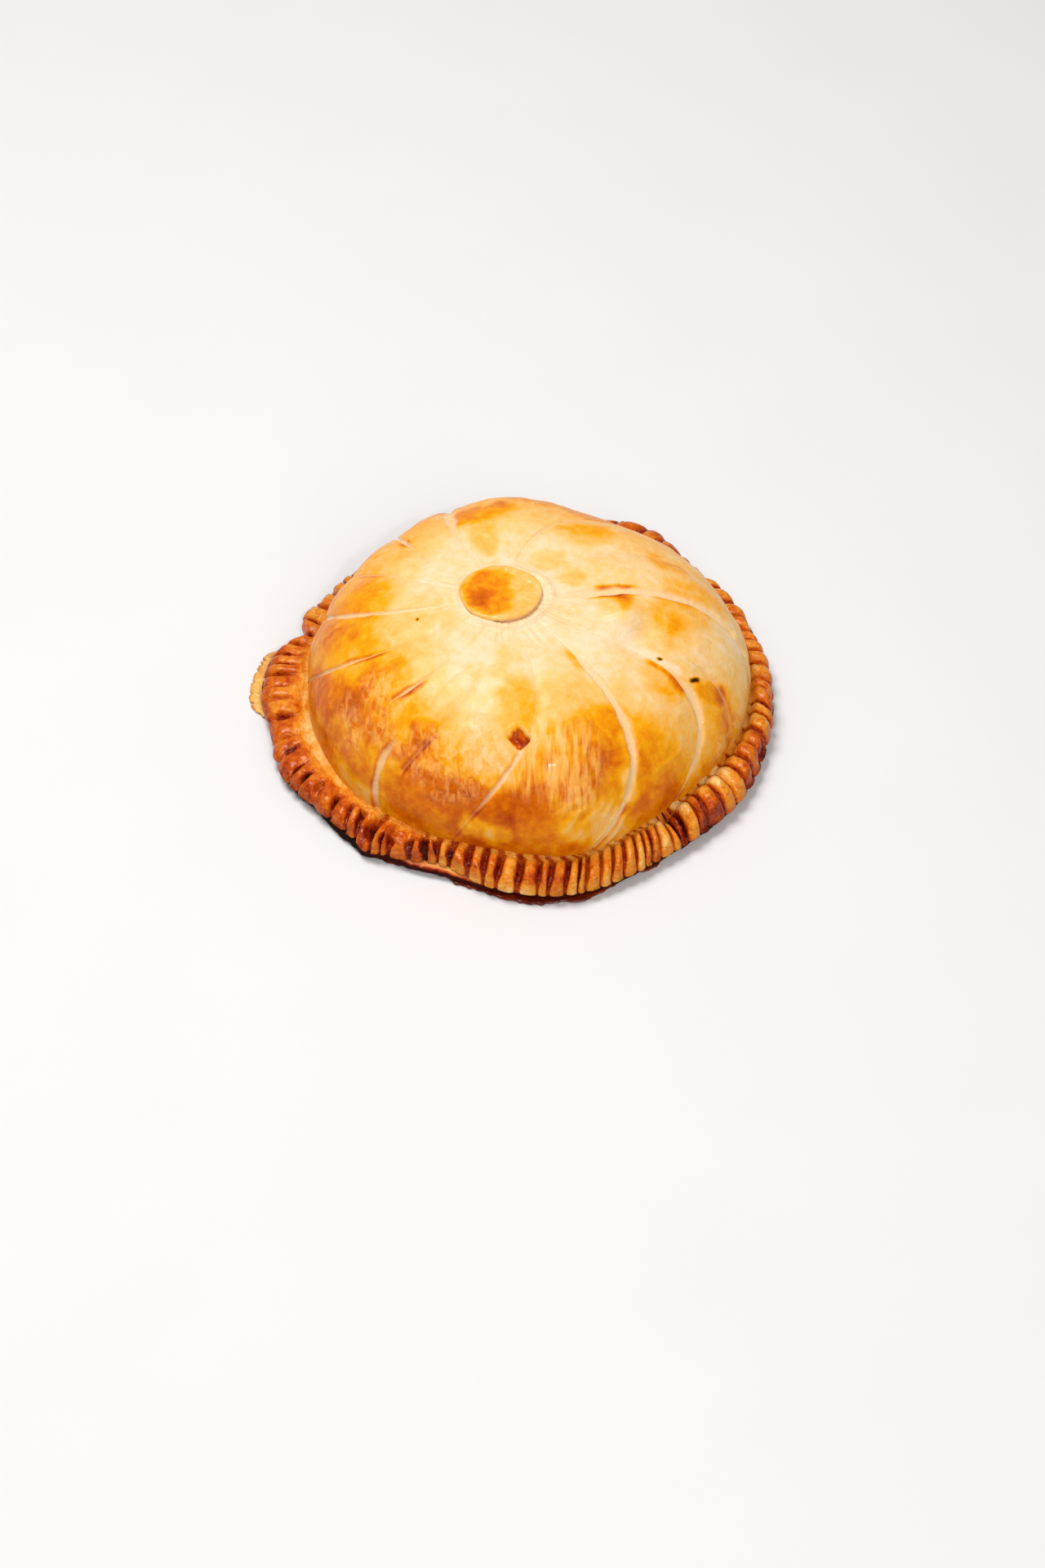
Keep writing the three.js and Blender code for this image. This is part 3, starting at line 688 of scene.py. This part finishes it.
def make_rim(sizes):
    crimps = crimp_list()
    foot_radius, rim_radius = sizes.foot_radius / MM, sizes.rim_radius / MM
    sheet_top = (sizes.sheet_thickness + sizes.juice_thickness) / MM
    spokes = len(crimps) * SPOKES_PER_CRIMP
    face = RIM_STATIONS - RIM_UNDERSIDE

    def place(station, spoke):
        station = station % RIM_STATIONS
        crimp = crimps[spoke // SPOKES_PER_CRIMP]
        slot = (spoke % SPOKES_PER_CRIMP) / SPOKES_PER_CRIMP
        straight = crimp[:, 0] + crimp[:, 1] * slot
        across = np.where(station < face + 4, np.clip(station / (face - 1), 0, 1) ** 0.9, 0)
        angle = straight + np.degrees(around(CRIMP_LEAN, straight) / rim_radius) * (across - 0.5)
        angle = angle + 1.3 * wander(polar(rim_radius, straight, 0), 8, 67) * across
        foot = edge_at(foot_radius, FOOT_SWELLS, angle)
        edge = edge_at(rim_radius, RIM_SWELLS, angle)
        start = foot + edge_at(GUTTER_WIDTH, GUTTER_SWELLS, angle)

        # A groove is shaped like a lens: pressed wide in the middle of its length, closed at both ends.
        odd = crimp[:, 3]
        off = np.abs((slot - 0.11 + 0.5) % 1 - 0.5)
        wide = around(GROOVE_WIDTH, angle) * 0.5 * (0.75 + 0.5 * odd)
        begins = around(GROOVE_START, angle) + 0.12 * crimp[:, 4] + 0.7 * facing(angle, 238, 6)
        lens = smooth(across, begins, begins + 0.25) * (1 - 0.55 * smooth(across, 0.7, 1))
        pressed = (1 - smooth(off, wide * 0.4 * lens, 0.07 + wide * 0.8 * lens)) * smooth(lens, 0, 0.4)
        rounded = np.maximum(0, 1 - off / 0.5) ** 1.7
        roundness = around(RIB_ROUNDNESS, angle)
        groove = ((1 - roundness) * pressed + roundness * (0.65 * rounded + 0.35 * pressed)) * crimp[:, 2]
        fades = np.maximum(around(GROOVE_START, angle), -0.1)
        crimped = smooth(across, 0.4 * fades - 0.03, 0.14 + 1.2 * fades)

        low = around(GUTTER_RISE, angle)
        gutter = sheet_top + low
        bulge = 1 - (1 - np.clip(across / 0.3, 0, 1)) ** 2.2
        top = gutter + bulge * (around(CREST_RISE, angle) - low)
        rolled = (1 - np.clip((across - 0.42) / 0.58, 0, 1) ** 2.8) ** 0.62
        notch = 0
        for at, depth, size in NOTCHES:
            notch = notch + depth * hump(np.radians(turn_between(at, angle)) * rim_radius, size)
        swell = wander(polar(rim_radius, straight, across * 6), 9, 61) * 0.5 + 1.2 * (odd - 0.5)
        swell = swell * smooth(across, 0, 0.3)
        sunk = groove * CRIMP_DEPTH * (1 + 0.5 * roundness) + notch
        z = sheet_top + 0.5 + np.maximum(top + swell - sunk * crimped - sheet_top - 0.5, 0) * rolled
        pillows = smooth(np.abs(turn_between(192, angle)), 45, 20)
        ropy = smooth(np.abs(turn_between(352, angle)), 75, 30)
        bite = groove * (1 + 0.6 * roundness) * (1 - 0.6 * pillows) + (0.9 + 0.7 * ropy) * crimp[:, 4]
        radius = start + across * (edge - start) - bite * across**4
        radius = radius + 0.35 * wander(polar(radius, angle, z), 3.4, 62, 2) * smooth(across, 0.5, 1)
        points = polar(radius, angle, z)
        bubbly = 0.12 + 0.12 * smooth(np.abs(turn_between(255, angle)), 40, 20)
        bubbly += 0.3 * facing(angle, 148, 12) + 0.14 * facing(angle, 328, 22)
        points[:, 2] += wander(points, 2.2, 63, 3) * 2 * bubbly * smooth(across, 0, 0.2)

        # Underneath: in along the bottom sheet, up inside the dome and back out over the gutter.
        inner = polar(foot - 5, straight, sheet_top + 0.05)
        outer = polar(radius - 1.2, angle, sheet_top + 0.05)
        rest = [
            polar(edge - groove * 0.9 - 0.35, angle, sheet_top + 0.35),
            outer, 0.6 * outer + 0.4 * inner, inner,
            polar(foot - 5, straight, gutter + 1), polar(foot - 2.2, straight, gutter + 1.7),
            polar(foot - 0.6, straight, gutter + 1.5), polar(foot + 0.35, straight, gutter + 0.55),
        ]
        for i, part in enumerate(rest):
            points[station == face + i] = part[station == face + i]
        return points, rim_baking(points, angle, across, pressed, rounded, crimp, pillows, fades)

    return wrapped_piece("crimped_rim", RIM_STATIONS + 1, spokes, place)


def rim_baking(points, angle, across, pressed, rounded, crimp, pillows, fades):
    """Ribs baked tan to brown, and grooves where the juices caramelised."""
    odd, odd_too = crimp[:, 3], crimp[:, 4]
    base = around(RIM_BROWNING, angle) + 0.24 * wander(points, 6, 64, 3) + 0.1 * wander(points, 1.8, 65, 2)
    base += 0.16 * (odd_too - 0.5) * smooth(across, 0.1, 0.3)
    ropy = facing(angle, 325, 20)
    base += ropy * (0.4 * (odd_too - 0.5) - 0.22 * (1 - smooth(across, 0.25, 0.6)) + 0.12)
    groove = around(GROOVE_BROWNING, angle) + 0.2 * (odd - 0.5)
    inner = np.minimum(fades, 0)
    inside = np.clip(pressed + 0.35 * rounded**3, 0, 1) * smooth(across, inner, 0.16 + 1.2 * inner)
    # On the left most grooves are only creases; some hold a short dark slot of juice.
    slots = np.where(odd_too > 0.35, 2.1, 0.4) * within(across, 0.2, 0.32, 0.62, 0.8)
    inside = np.clip(inside * (1 - pillows + pillows * slots), 0, 1)
    browning = base * (1 - inside) + groove * inside
    browning += (0.16 - 0.3 * facing(angle, 265, 35)) * smooth(across, 0.75, 1)
    browning -= 0.1 * (1 - smooth(across, 0.05, 0.35))
    browning -= (0.22 + 0.2 * wander(points, 5, 66)) * pillows * (1 - smooth(across, 0, 0.2))
    # Juice caramelised where the rim parts, on the right and at the front left.
    parted = facing(angle, 309.5, 2.33) * (1 - 0.4 * across)
    parted += 0.7 * facing(angle, 231.5, 1.17)
    browning += 0.34 * parted
    wet = np.clip(inside * smooth(groove, 0.8, 1) + parted, 0, 1)
    return {"browning": browning, "bare": 0, "char": 0, "wet": wet}


# ---------------------------------------------------------------- sheet, juices, frill and button

def make_sheet(sizes):
    """The bottom pastry sheet, flaky along its edge."""
    low = sizes.juice_thickness / MM
    high = low + sizes.sheet_thickness / MM
    rim_radius = sizes.rim_radius / MM
    # Share of the way out, how far inside the edge, and share of the way up.
    profile = (
        (0, 0, 0), (1, 1.2, 0), (1, 0.35, 0.06), (1, 0.1, 0.18), (1, 0.28, 0.28), (1, 0.05, 0.4),
        (1, 0.25, 0.5), (1, 0.02, 0.62), (1, 0.26, 0.72), (1, 0.1, 0.84), (1, 0.4, 0.95), (1, 1.2, 1),
        (0, 0, 1),
    )
    spokes = 900

    def place(station, spoke):
        share, inset, up = np.array(profile)[station].T
        angle = spoke / spokes * 360
        edge = edge_at(rim_radius, RIM_SWELLS, angle) + edge_at(-1.4, SHEET_SWELLS, angle)
        flake = 0.5 * wander(polar(edge, angle, up * 9), 2.4, 71, 3)
        flake += 0.3 * wander(polar(edge, angle, up * 5), 8, 72)
        radius = share * (edge - inset - 0.3 + flake)
        points = polar(radius, angle, low + 0.02 + up * (high - low - 0.04))
        burnt = 0.42 * facing(angle, 216, 13) + 0.3 * facing(angle, 234, 10)
        browning = 0.42 + burnt + 0.2 * wander(points, 4, 73, 3) - 0.1 * facing(angle, 256, 14)
        browning += 0.55 * (1 - smooth(up + 0.16 * wander(points, 3, 75, 2), 0.5, 0.86))
        browning += 0.4 * (1 - smooth(inset + 0.6 * wander(points, 2, 76, 2), 0.3, 1)) * share
        points[:, 2] -= np.where(up == 1, 0.3 * np.abs(wander(points, 2, 77)), 0)
        char = np.clip(1.3 * facing(angle, 223, 11) - 0.2 + 0.5 * wander(points, 3, 74), 0, 1)
        bare = 0.2 * (1 - smooth(browning + char, 0.4, 0.75))
        return points, {"browning": browning, "bare": bare, "char": char}

    return wrapped_piece("pastry_base", len(profile), spokes, place)


def make_juices(sizes):
    """Juices that ran out under the pie and caramelised, with a thick rounded edge."""
    high = sizes.juice_thickness / MM
    rim_radius = sizes.rim_radius / MM
    profile = (
        (0, 0, 0), (1, 0.5, 0), (1, 0.12, 0.15), (1, 0, 0.4), (1, 0.08, 0.65), (1, 0.3, 0.88),
        (1, 0.8, 1), (1, 1.8, 0.92), (1, 4, 0.85), (0, 0, 0.85),
    )
    spokes = 720

    def place(station, spoke):
        share, inset, up = np.array(profile)[station].T
        angle = spoke / spokes * 360
        turn = np.radians(angle)
        edge = edge_at(rim_radius, RIM_SWELLS, angle) + edge_at(-2.4, JUICE_SWELLS, angle)
        lobes = 0.4 * np.sin(23 * turn) + 0.3 * np.sin(41 * turn + math.pi / 3)
        lobes = lobes + 0.8 * wander(polar(edge, angle, 0), 2.2, 81, 3) - 0.9
        lobes = lobes - 1.3 * facing(angle, 238, 16) - 1.6 * facing(angle, 296, 9)
        points = polar(share * (edge + lobes - inset), angle, up * high)
        thin = 0.42 + 0.5 * wander(points, 6, 82, 2) - 0.6 * facing(angle, 223, 12)
        return points, {"thin": np.clip(thin, 0, 1)}

    return wrapped_piece("caramel_edge", len(profile), spokes, place)


def make_frill(sizes):
    """Cheese that bubbled out on the left and set in a thin toasted frill."""
    rim_radius = sizes.rim_radius / MM
    stations, spokes = 14, 240

    def place(station, spoke):
        # A bent strip: the spokes run along its top and back underneath, the stations round its section.
        along = 1 - np.abs(2 * spoke / spokes - 1)
        side = np.where(spoke < spokes / 2, 1, -1)
        t = station / (stations - 1)
        angle = FRILL_START + FRILL_TURN * along
        full = np.sqrt(within(along, 0, 0.25, 0.8, 1))
        edge = polar(70, angle, 0)
        holes = 1.9 * np.minimum(0, wander(edge, 1.3, 94)) + 0.8 * np.minimum(0, wander(edge, 0.8, 95))
        reach = 0.5 + (3.5 + 0.5 * wander(edge, 2.2, 91, 2) + holes) * full
        across = 0.5 + 0.5 * side * np.sin(t * math.pi) ** 0.8
        height = 0.78 - 0.7 * np.cos(t * math.pi) * (0.55 + 0.45 * full)
        radius = edge_at(rim_radius, RIM_SWELLS, angle) - 0.73 + across * reach
        points = polar(radius, angle, np.clip(height, 0.02, 1.48))
        sagged = 0.35 * np.abs(wander(points, 1.6, 92)) + 0.3 * across
        points[:, 2] = np.clip(points[:, 2] - np.where(height > 0.8, sagged, 0), 0.02, 1.48)
        toasted = 0.2 + 0.3 * smooth(across, 0.7, 1) + 0.35 * wander(points, 2.5, 93, 2)
        return points, {"toasted": toasted + 0.3 * smooth(angle, 172, 164)}

    return wrapped_piece("toasted_frill", stations, spokes, place)


def make_button(sizes):
    """The round of pastry on top: its edge is thick and rounded, and its face is dished."""
    half = sizes.button_length / MM / 2
    squash = sizes.button_width / sizes.button_length
    thick = sizes.button_thickness / MM
    stand = sizes.dome_height / MM
    stations, spokes = 44, 260
    # From the middle of the underside, out, round the thick edge, and in over the face.
    out_at, out_to = (0, 0.15, 0.2, 0.28, 0.36, 0.46, 0.6, 1), (0, 0.9, 0.965, 1, 0.985, 0.9, 0.72, 0)
    up_at = (0, 0.15, 0.2, 0.28, 0.36, 0.43, 0.5, 0.62, 1)
    up_to = (0, 0, 0.12, 0.45, 0.82, 0.99, 0.96, 0.8, 0.78)

    def place(station, spoke):
        turn = spoke / spokes * 2 * math.pi
        t = station / (stations - 1)
        up = np.interp(t, up_at, up_to)
        uneven = 1 + 0.012 * np.sin(3 * turn + math.radians(40)) + 0.01 * np.sin(5 * turn)
        radius = half * np.interp(t, out_at, out_to) * uneven
        x, y = radius * np.cos(turn), radius * np.sin(turn) * squash
        points = np.stack([DOME_TOP[0] + x, DOME_TOP[1] + y, stand + up * thick], axis=-1)
        face = smooth(up, 0.5, 0.75)
        pits = 0.12 * ridges(points, 2.6, 107) * hump(np.hypot(x - 1, y + 6), 5)
        dished = 0.2 * wander(points, 4, 101, 2) + pits + 0.06 * wander(points, 1.5, 102) - 0.16
        points[:, 2] += face * np.minimum(0, dished)
        deep = 1 - smooth(x + 3 * wander(points, 4, 103, 3), 0.5, 5.5)
        inner = 1 - smooth(np.hypot(x + 1.5, y) + 1.4 * wander(points, 4, 104), 7.6, 9.8)
        browning = 0.27 + (0.24 + 0.1 * wander(points, 2.4, 106)) * deep * inner
        browning += 0.14 * hump(np.hypot(x + 6, y + 1.5), 3.6) + 0.08 * wander(points, 3, 105, 2)
        browning = np.where(up < 0.5, 0.22, browning)
        return points, {"browning": browning, "bare": 0.3 * (1 - face), "char": 0}

    return wrapped_piece("glazed_button", stations, spokes, place)


# ---------------------------------------------------------------- materials

class Amount:
    """A shader value that adds, subtracts and multiplies as a number does."""

    def __init__(self, socket):
        self.socket = socket

    def worked(self, operation, other, limit=False):
        node = self.socket.id_data.nodes.new("ShaderNodeMath")
        node.operation = operation
        node.use_clamp = limit
        give(node, {0: self, 1: other})
        return Amount(node.outputs[0])

    def __add__(self, other):
        return self.worked("ADD", other)

    def __sub__(self, other):
        return self.worked("SUBTRACT", other)

    def __mul__(self, other):
        return self.worked("MULTIPLY", other)


def give(node, inputs):
    """Fills a node's inputs: an amount is linked, and anything else is set."""
    for name, value in inputs.items():
        if isinstance(value, Amount):
            node.id_data.links.new(value.socket, node.inputs[name])
        else:
            node.inputs[name].default_value = value


class Finish:
    """A new material, and what its colour and relief are made from."""

    def __init__(self, name):
        self.material = bpy.data.materials.new(name)
        self.material.use_nodes = True
        self.tree = self.material.node_tree

    def surface(self, inputs):
        give(self.tree.nodes["Principled BSDF"], inputs)
        return self.material

    def node(self, kind, inputs, output, **settings):
        node = self.tree.nodes.new(kind)
        for name, value in settings.items():
            setattr(node, name, value)
        give(node, inputs)
        return Amount(node.outputs[output])

    def value(self, name):
        return self.node("ShaderNodeAttribute", {}, "Fac", attribute_name=name)

    def grain(self, size, detail=3, roughness=0.55, distortion=0.0, stretch=(1, 1, 1)):
        """Noise of about that size in millimetres over the piece, from 0 to 1."""
        place = self.node("ShaderNodeTexCoord", {}, "Object")
        if stretch != (1, 1, 1):
            place = self.node("ShaderNodeMapping", {"Vector": place, "Scale": stretch}, 0)
        look = {"Scale": 1 / (size * MM), "Detail": detail, "Roughness": roughness, "Distortion": distortion}
        return self.node("ShaderNodeTexNoise", {"Vector": place, **look}, "Fac")

    def bubbles(self, size):
        """Small round cells of about that size, from 0 in their middles."""
        inputs = {"Vector": self.node("ShaderNodeTexCoord", {}, "Object"), "Scale": 1 / (size * MM)}
        return self.node("ShaderNodeTexVoronoi", inputs, "Distance", feature="SMOOTH_F1")

    def crests(self, size):
        """Thin wandering crests about that far apart, from 0 to 1."""
        off = (self.grain(size, 1, 0.5, 0.3) - 0.5).worked("ABSOLUTE", 0)
        return (off * -7).worked("ADD", 1, limit=True)

    def strokes(self, *noise):
        """Noise turned into soft strokes from 0 to 1."""
        inputs = {"Value": self.grain(*noise), "From Min": 0.34, "From Max": 0.68}
        return self.node("ShaderNodeMapRange", inputs, "Result", interpolation_type="SMOOTHSTEP")

    def blended(self, factor, first, second):
        return self.node("ShaderNodeMix", {0: factor, 6: first, 7: second}, 2, data_type="RGBA")

    def steps(self, factor, *steps):
        """A colour that changes with the factor, through steps of (factor, colour)."""
        shade = self.node("ShaderNodeValToRGB", {"Fac": factor}, "Color")
        ramp = shade.socket.node.color_ramp
        while len(ramp.elements) < len(steps):
            ramp.elements.new(0.5)
        for element, (at, rgb) in zip(ramp.elements, steps):
            element.position = at
            element.color = (*rgb, 1)
        return shade

    def raised(self, height, strength, distance, under=None):
        """The surface's direction once it is raised, by so many millimetres, over what is under it."""
        inputs = {"Height": height, "Strength": strength, "Distance": distance * MM}
        if under:
            inputs["Normal"] = under
        return self.node("ShaderNodeBump", inputs, 0)


# How much of the glaze's gloss each kind of crust has.
GLAZED = {"dome": 0.9, "rim": 2.4, "sheet": 0.3, "button": 2.4}


def baked_crust(name, kind, colours, looks):
    """Glazed puff pastry: its colour follows how brown it was baked, with bare dough in the cuts."""
    finish = Finish(name)
    brown = finish.value("browning") + looks.browning
    # Patches vary more where the crust is browner.
    mottle = (finish.grain(7, 5, 0.62, 0.8) - 0.5) * 0.42 + (finish.grain(1.8, 3, 0.6, 0.5) - 0.5) * 0.26
    brown = brown + mottle * (brown + 0.38)
    rough = finish.grain(2.4, 4) * 0.3 + finish.value("bare") * 0.35 + 0.16
    normal = finish.raised(finish.grain(5.5, 4, 0.6, 0.6), 0.6, 0.6)
    steps = ((0.07, "cream"), (0.2, "straw"), (0.4, "gold"), (0.6, "amber"), (0.82, "russet"), (1, "dark"))
    if kind == "dome":
        # Where the crust shrank it stands in crests. They are painted paler than the hollows between them:
        # partly the pale stretched crust of the crests, partly painted highlight on them.
        rippled, crinkled = finish.value("rippled"), finish.value("crinkled")
        creased = rippled * finish.strokes(1.25, 2, 0.5, 0.5, (1, 0.17, 0.17))
        creased = creased + crinkled * finish.strokes(1.5, 3, 0.55, 0.8, (0.8, 0.45, 0.4)) * 0.8
        brown = brown - creased * 0.17
        rough = rough - (rippled + crinkled) * 0.12
        normal = finish.raised(creased, 0.6, 0.3, normal)
    if kind == "rim":
        wrinkles = finish.crests(1.8)
        brown = brown - wrinkles * 0.1
        rough = rough - finish.value("wet") * 0.2
        normal = finish.raised(wrinkles, 0.5, 0.35, normal)
    if kind in ("rim", "sheet"):
        # The layers of the pastry show round its sides.
        layers = finish.grain(0.7, 2, 0.5, 0.3, (0.14, 0.14, 1))
        brown = brown + (layers - 0.5) * 0.16
        normal = finish.raised(layers, 0.7, 0.3, normal)
        steps = ((0.06, "straw"), (0.3, "tan"), (0.56, "nut"), (0.8, "chestnut"), (1, "dark"))
    baked = finish.steps(brown, *((at, getattr(colours, step)) for at, step in steps))
    if kind == "dome":
        # The crests are blended towards a pale colour that is partly painted highlight.
        baked = finish.blended(creased * 0.38, baked, (*colours.skin, 1))
    shaded_dough = [c * 0.84 for c in colours.dough]
    dough = finish.blended(finish.grain(1.1, 3, 0.6), (*shaded_dough, 1), (*colours.dough, 1))
    baked = finish.blended(finish.value("bare"), baked, dough)
    baked = finish.blended(finish.value("char"), baked, (*colours.burnt, 1))
    normal = finish.raised(finish.grain(2.6, 5, 0.62, 0.6), 0.6 if kind == "dome" else 0.75, 0.4, normal)
    return finish.surface({
        "Base Color": baked,
        "Roughness": rough.worked("ADD", finish.value("char") * 0.5, limit=True),
        "Normal": finish.raised(finish.grain(0.8, 3, 0.6), 0.45, 0.12, normal),
        "Coat Weight": looks.gloss * GLAZED[kind],
        "Coat Roughness": 0.1,
        "Specular IOR Level": 0.05,
        "Subsurface Weight": 0.1,
        "Subsurface Radius": (1, 0.6, 0.3),
        "Subsurface Scale": 0.0012,
    })


def caramelised_juices(looks):
    """Dark shiny juices, amber where they are thin."""
    finish = Finish("caramelised_juices")
    factor = finish.value("thin") * (finish.grain(2, 4) + 0.15)
    return finish.surface({
        "Base Color": finish.steps(factor, (0.1, looks.juice), (0.55, looks.juice_thin)),
        "Roughness": finish.grain(1.5, 3) * 0.25 + 0.12,
        "Normal": finish.raised(finish.grain(1.4, 4), 0.7, 0.4),
        "Specular IOR Level": 0.15,
        "Coat Weight": 0.4,
        "Coat Roughness": 0.08,
    })


def toasted_cheese(looks):
    """Set cheese, full of small bubbles and browned at its edge."""
    finish = Finish("toasted_cheese")
    bubbles = finish.bubbles(1.2)
    toasted = finish.value("toasted") + (finish.grain(1.2, 3) - 0.5) * 0.6
    return finish.surface({
        "Base Color": finish.steps(toasted, (0.15, looks.cheese), (0.85, looks.cheese_dark)),
        "Roughness": bubbles * 0.3 + 0.3,
        "Normal": finish.raised(bubbles, 0.6, 0.5),
        "Subsurface Weight": 0.15,
        "Subsurface Scale": 0.001,
    })


def plain_floor(looks):
    """A matt pale surface with the faintest unevenness."""
    finish = Finish("plain_floor")
    darker = [c * 0.985 for c in looks.floor]
    shade = finish.steps(finish.grain(60, 2), (0.3, darker), (0.7, looks.floor))
    return finish.surface({"Base Color": shade, "Roughness": 0.6})


# ---------------------------------------------------------------- operators

def settings(context):
    return context.scene.pie_sizes, context.scene.pie_colours, context.scene.pie_glaze


class PIE_OT_dome(bpy.types.Operator):
    """Makes the scored dome of crust"""

    bl_idname = "pie.dome"
    bl_label = "Crust Dome"

    def execute(self, context):
        sizes, colours, looks = settings(context)
        crust = baked_crust("scored_crust", "dome", colours, looks)
        finished(make_dome(sizes), crust, "crust_lid")
        return {"FINISHED"}


class PIE_OT_rim(bpy.types.Operator):
    """Makes the crimped rim round the dome"""

    bl_idname = "pie.rim"
    bl_label = "Crimped Rim"

    def execute(self, context):
        sizes, colours, looks = settings(context)
        crust = baked_crust("crimped_crust", "rim", colours, looks)
        finished(make_rim(sizes), crust, "crust_lid")
        return {"FINISHED"}


class PIE_OT_button(bpy.types.Operator):
    """Makes the pastry button on top"""

    bl_idname = "pie.button"
    bl_label = "Pastry Button"

    def execute(self, context):
        sizes, colours, looks = settings(context)
        crust = baked_crust("button_crust", "button", colours, looks)
        finished(make_button(sizes), crust, "pastry_button")
        return {"FINISHED"}


class PIE_OT_sheet(bpy.types.Operator):
    """Makes the bottom sheet of pastry"""

    bl_idname = "pie.sheet"
    bl_label = "Bottom Sheet"

    def execute(self, context):
        sizes, colours, looks = settings(context)
        crust = baked_crust("bottom_crust", "sheet", colours, looks)
        finished(make_sheet(sizes), crust, "bottom_sheet")
        return {"FINISHED"}


class PIE_OT_juices(bpy.types.Operator):
    """Makes the juices baked on under the pie"""

    bl_idname = "pie.juices"
    bl_label = "Baked Juices"

    def execute(self, context):
        sizes, _, looks = settings(context)
        finished(make_juices(sizes), caramelised_juices(looks), "baked_juices")
        return {"FINISHED"}


class PIE_OT_frill(bpy.types.Operator):
    """Makes the frill of toasted cheese"""

    bl_idname = "pie.frill"
    bl_label = "Cheese Frill"

    def execute(self, context):
        sizes, _, looks = settings(context)
        finished(make_frill(sizes), toasted_cheese(looks), "cheese_frill")
        return {"FINISHED"}


def make_floor(looks):
    ground = bmesh.new()
    bmesh.ops.create_circle(ground, cap_ends=True, segments=96, radius=2.5)
    mesh = bpy.data.meshes.new("floor")
    ground.to_mesh(mesh)
    ground.free()
    mesh.materials.append(plain_floor(looks))
    floor = bpy.data.objects.new("floor", mesh)
    floor.location.z = -0.00005
    bpy.context.collection.objects.link(floor)


def make_lights(looks):
    world = bpy.data.worlds.new("soft_room")
    world.use_nodes = True
    give(world.node_tree.nodes["Background"], {"Color": (1, 0.965, 0.89, 1), "Strength": looks.sky})
    bpy.context.scene.world = world
    for name, place, size, strength in LIGHTS:
        light = bpy.data.lights.new(name, "AREA")
        light.shape = "DISK"
        light.size = size
        light.energy = getattr(looks, strength)
        light.color = LIGHT_TINT
        lamp = bpy.data.objects.new(name, light)
        lamp.location = place
        lamp.rotation_euler = (Vector(LIGHT_TARGET) - Vector(place)).to_track_quat("-Z", "Y").to_euler()
        bpy.context.collection.objects.link(lamp)


def make_camera(looks):
    camera = bpy.data.objects.new("camera", bpy.data.cameras.new("camera"))
    camera.data.lens = looks.lens
    camera.data.sensor_width = 36
    camera.data.clip_start = 0.01
    camera.location = CAMERA_PLACE
    camera.rotation_euler = (math.radians(CAMERA_TILT), 0, 0)
    bpy.context.collection.objects.link(camera)
    bpy.context.scene.camera = camera


class PIE_OT_stage(bpy.types.Operator):
    """Makes the floor, the lights and the camera"""

    bl_idname = "pie.stage"
    bl_label = "Stage"

    def execute(self, context):
        looks = context.scene.pie_stage
        make_floor(looks)
        make_lights(looks)
        make_camera(looks)
        context.scene.view_settings.view_transform = "Standard"
        return {"FINISHED"}


class PIE_PT_make(bpy.types.Panel):
    """Lists the pie's sizes, colours and pieces"""

    bl_label = "Cheese in Puff Pastry"
    bl_idname = "PIE_PT_make"
    bl_space_type = "VIEW_3D"
    bl_region_type = "UI"
    bl_category = "Pie"

    def draw(self, context):
        for name in GROUPS:
            group = getattr(context.scene, name)
            box = self.layout.box()
            for setting in group.__annotations__:
                box.prop(group, setting)
        for operator in OPERATORS:
            self.layout.operator(operator.bl_idname)


GROUPS = {
    "pie_sizes": PieSizes, "pie_colours": CrustColours, "pie_glaze": GlazeLooks, "pie_stage": StageLooks,
}
OPERATORS = (
    PIE_OT_stage, PIE_OT_dome, PIE_OT_rim, PIE_OT_button, PIE_OT_sheet, PIE_OT_juices, PIE_OT_frill,
)


def register():
    for kind in (*GROUPS.values(), *OPERATORS, PIE_PT_make):
        bpy.utils.register_class(kind)
    for name, group in GROUPS.items():
        setattr(bpy.types.Scene, name, PointerProperty(type=group))


def unregister():
    for name in GROUPS:
        delattr(bpy.types.Scene, name)
    for kind in reversed((*GROUPS.values(), *OPERATORS, PIE_PT_make)):
        bpy.utils.unregister_class(kind)


def main():
    register()
    bpy.ops.pie.stage()
    bpy.ops.pie.dome()
    bpy.ops.pie.rim()
    bpy.ops.pie.button()
    bpy.ops.pie.sheet()
    bpy.ops.pie.juices()
    bpy.ops.pie.frill()


if __name__ == "__main__":
    main()
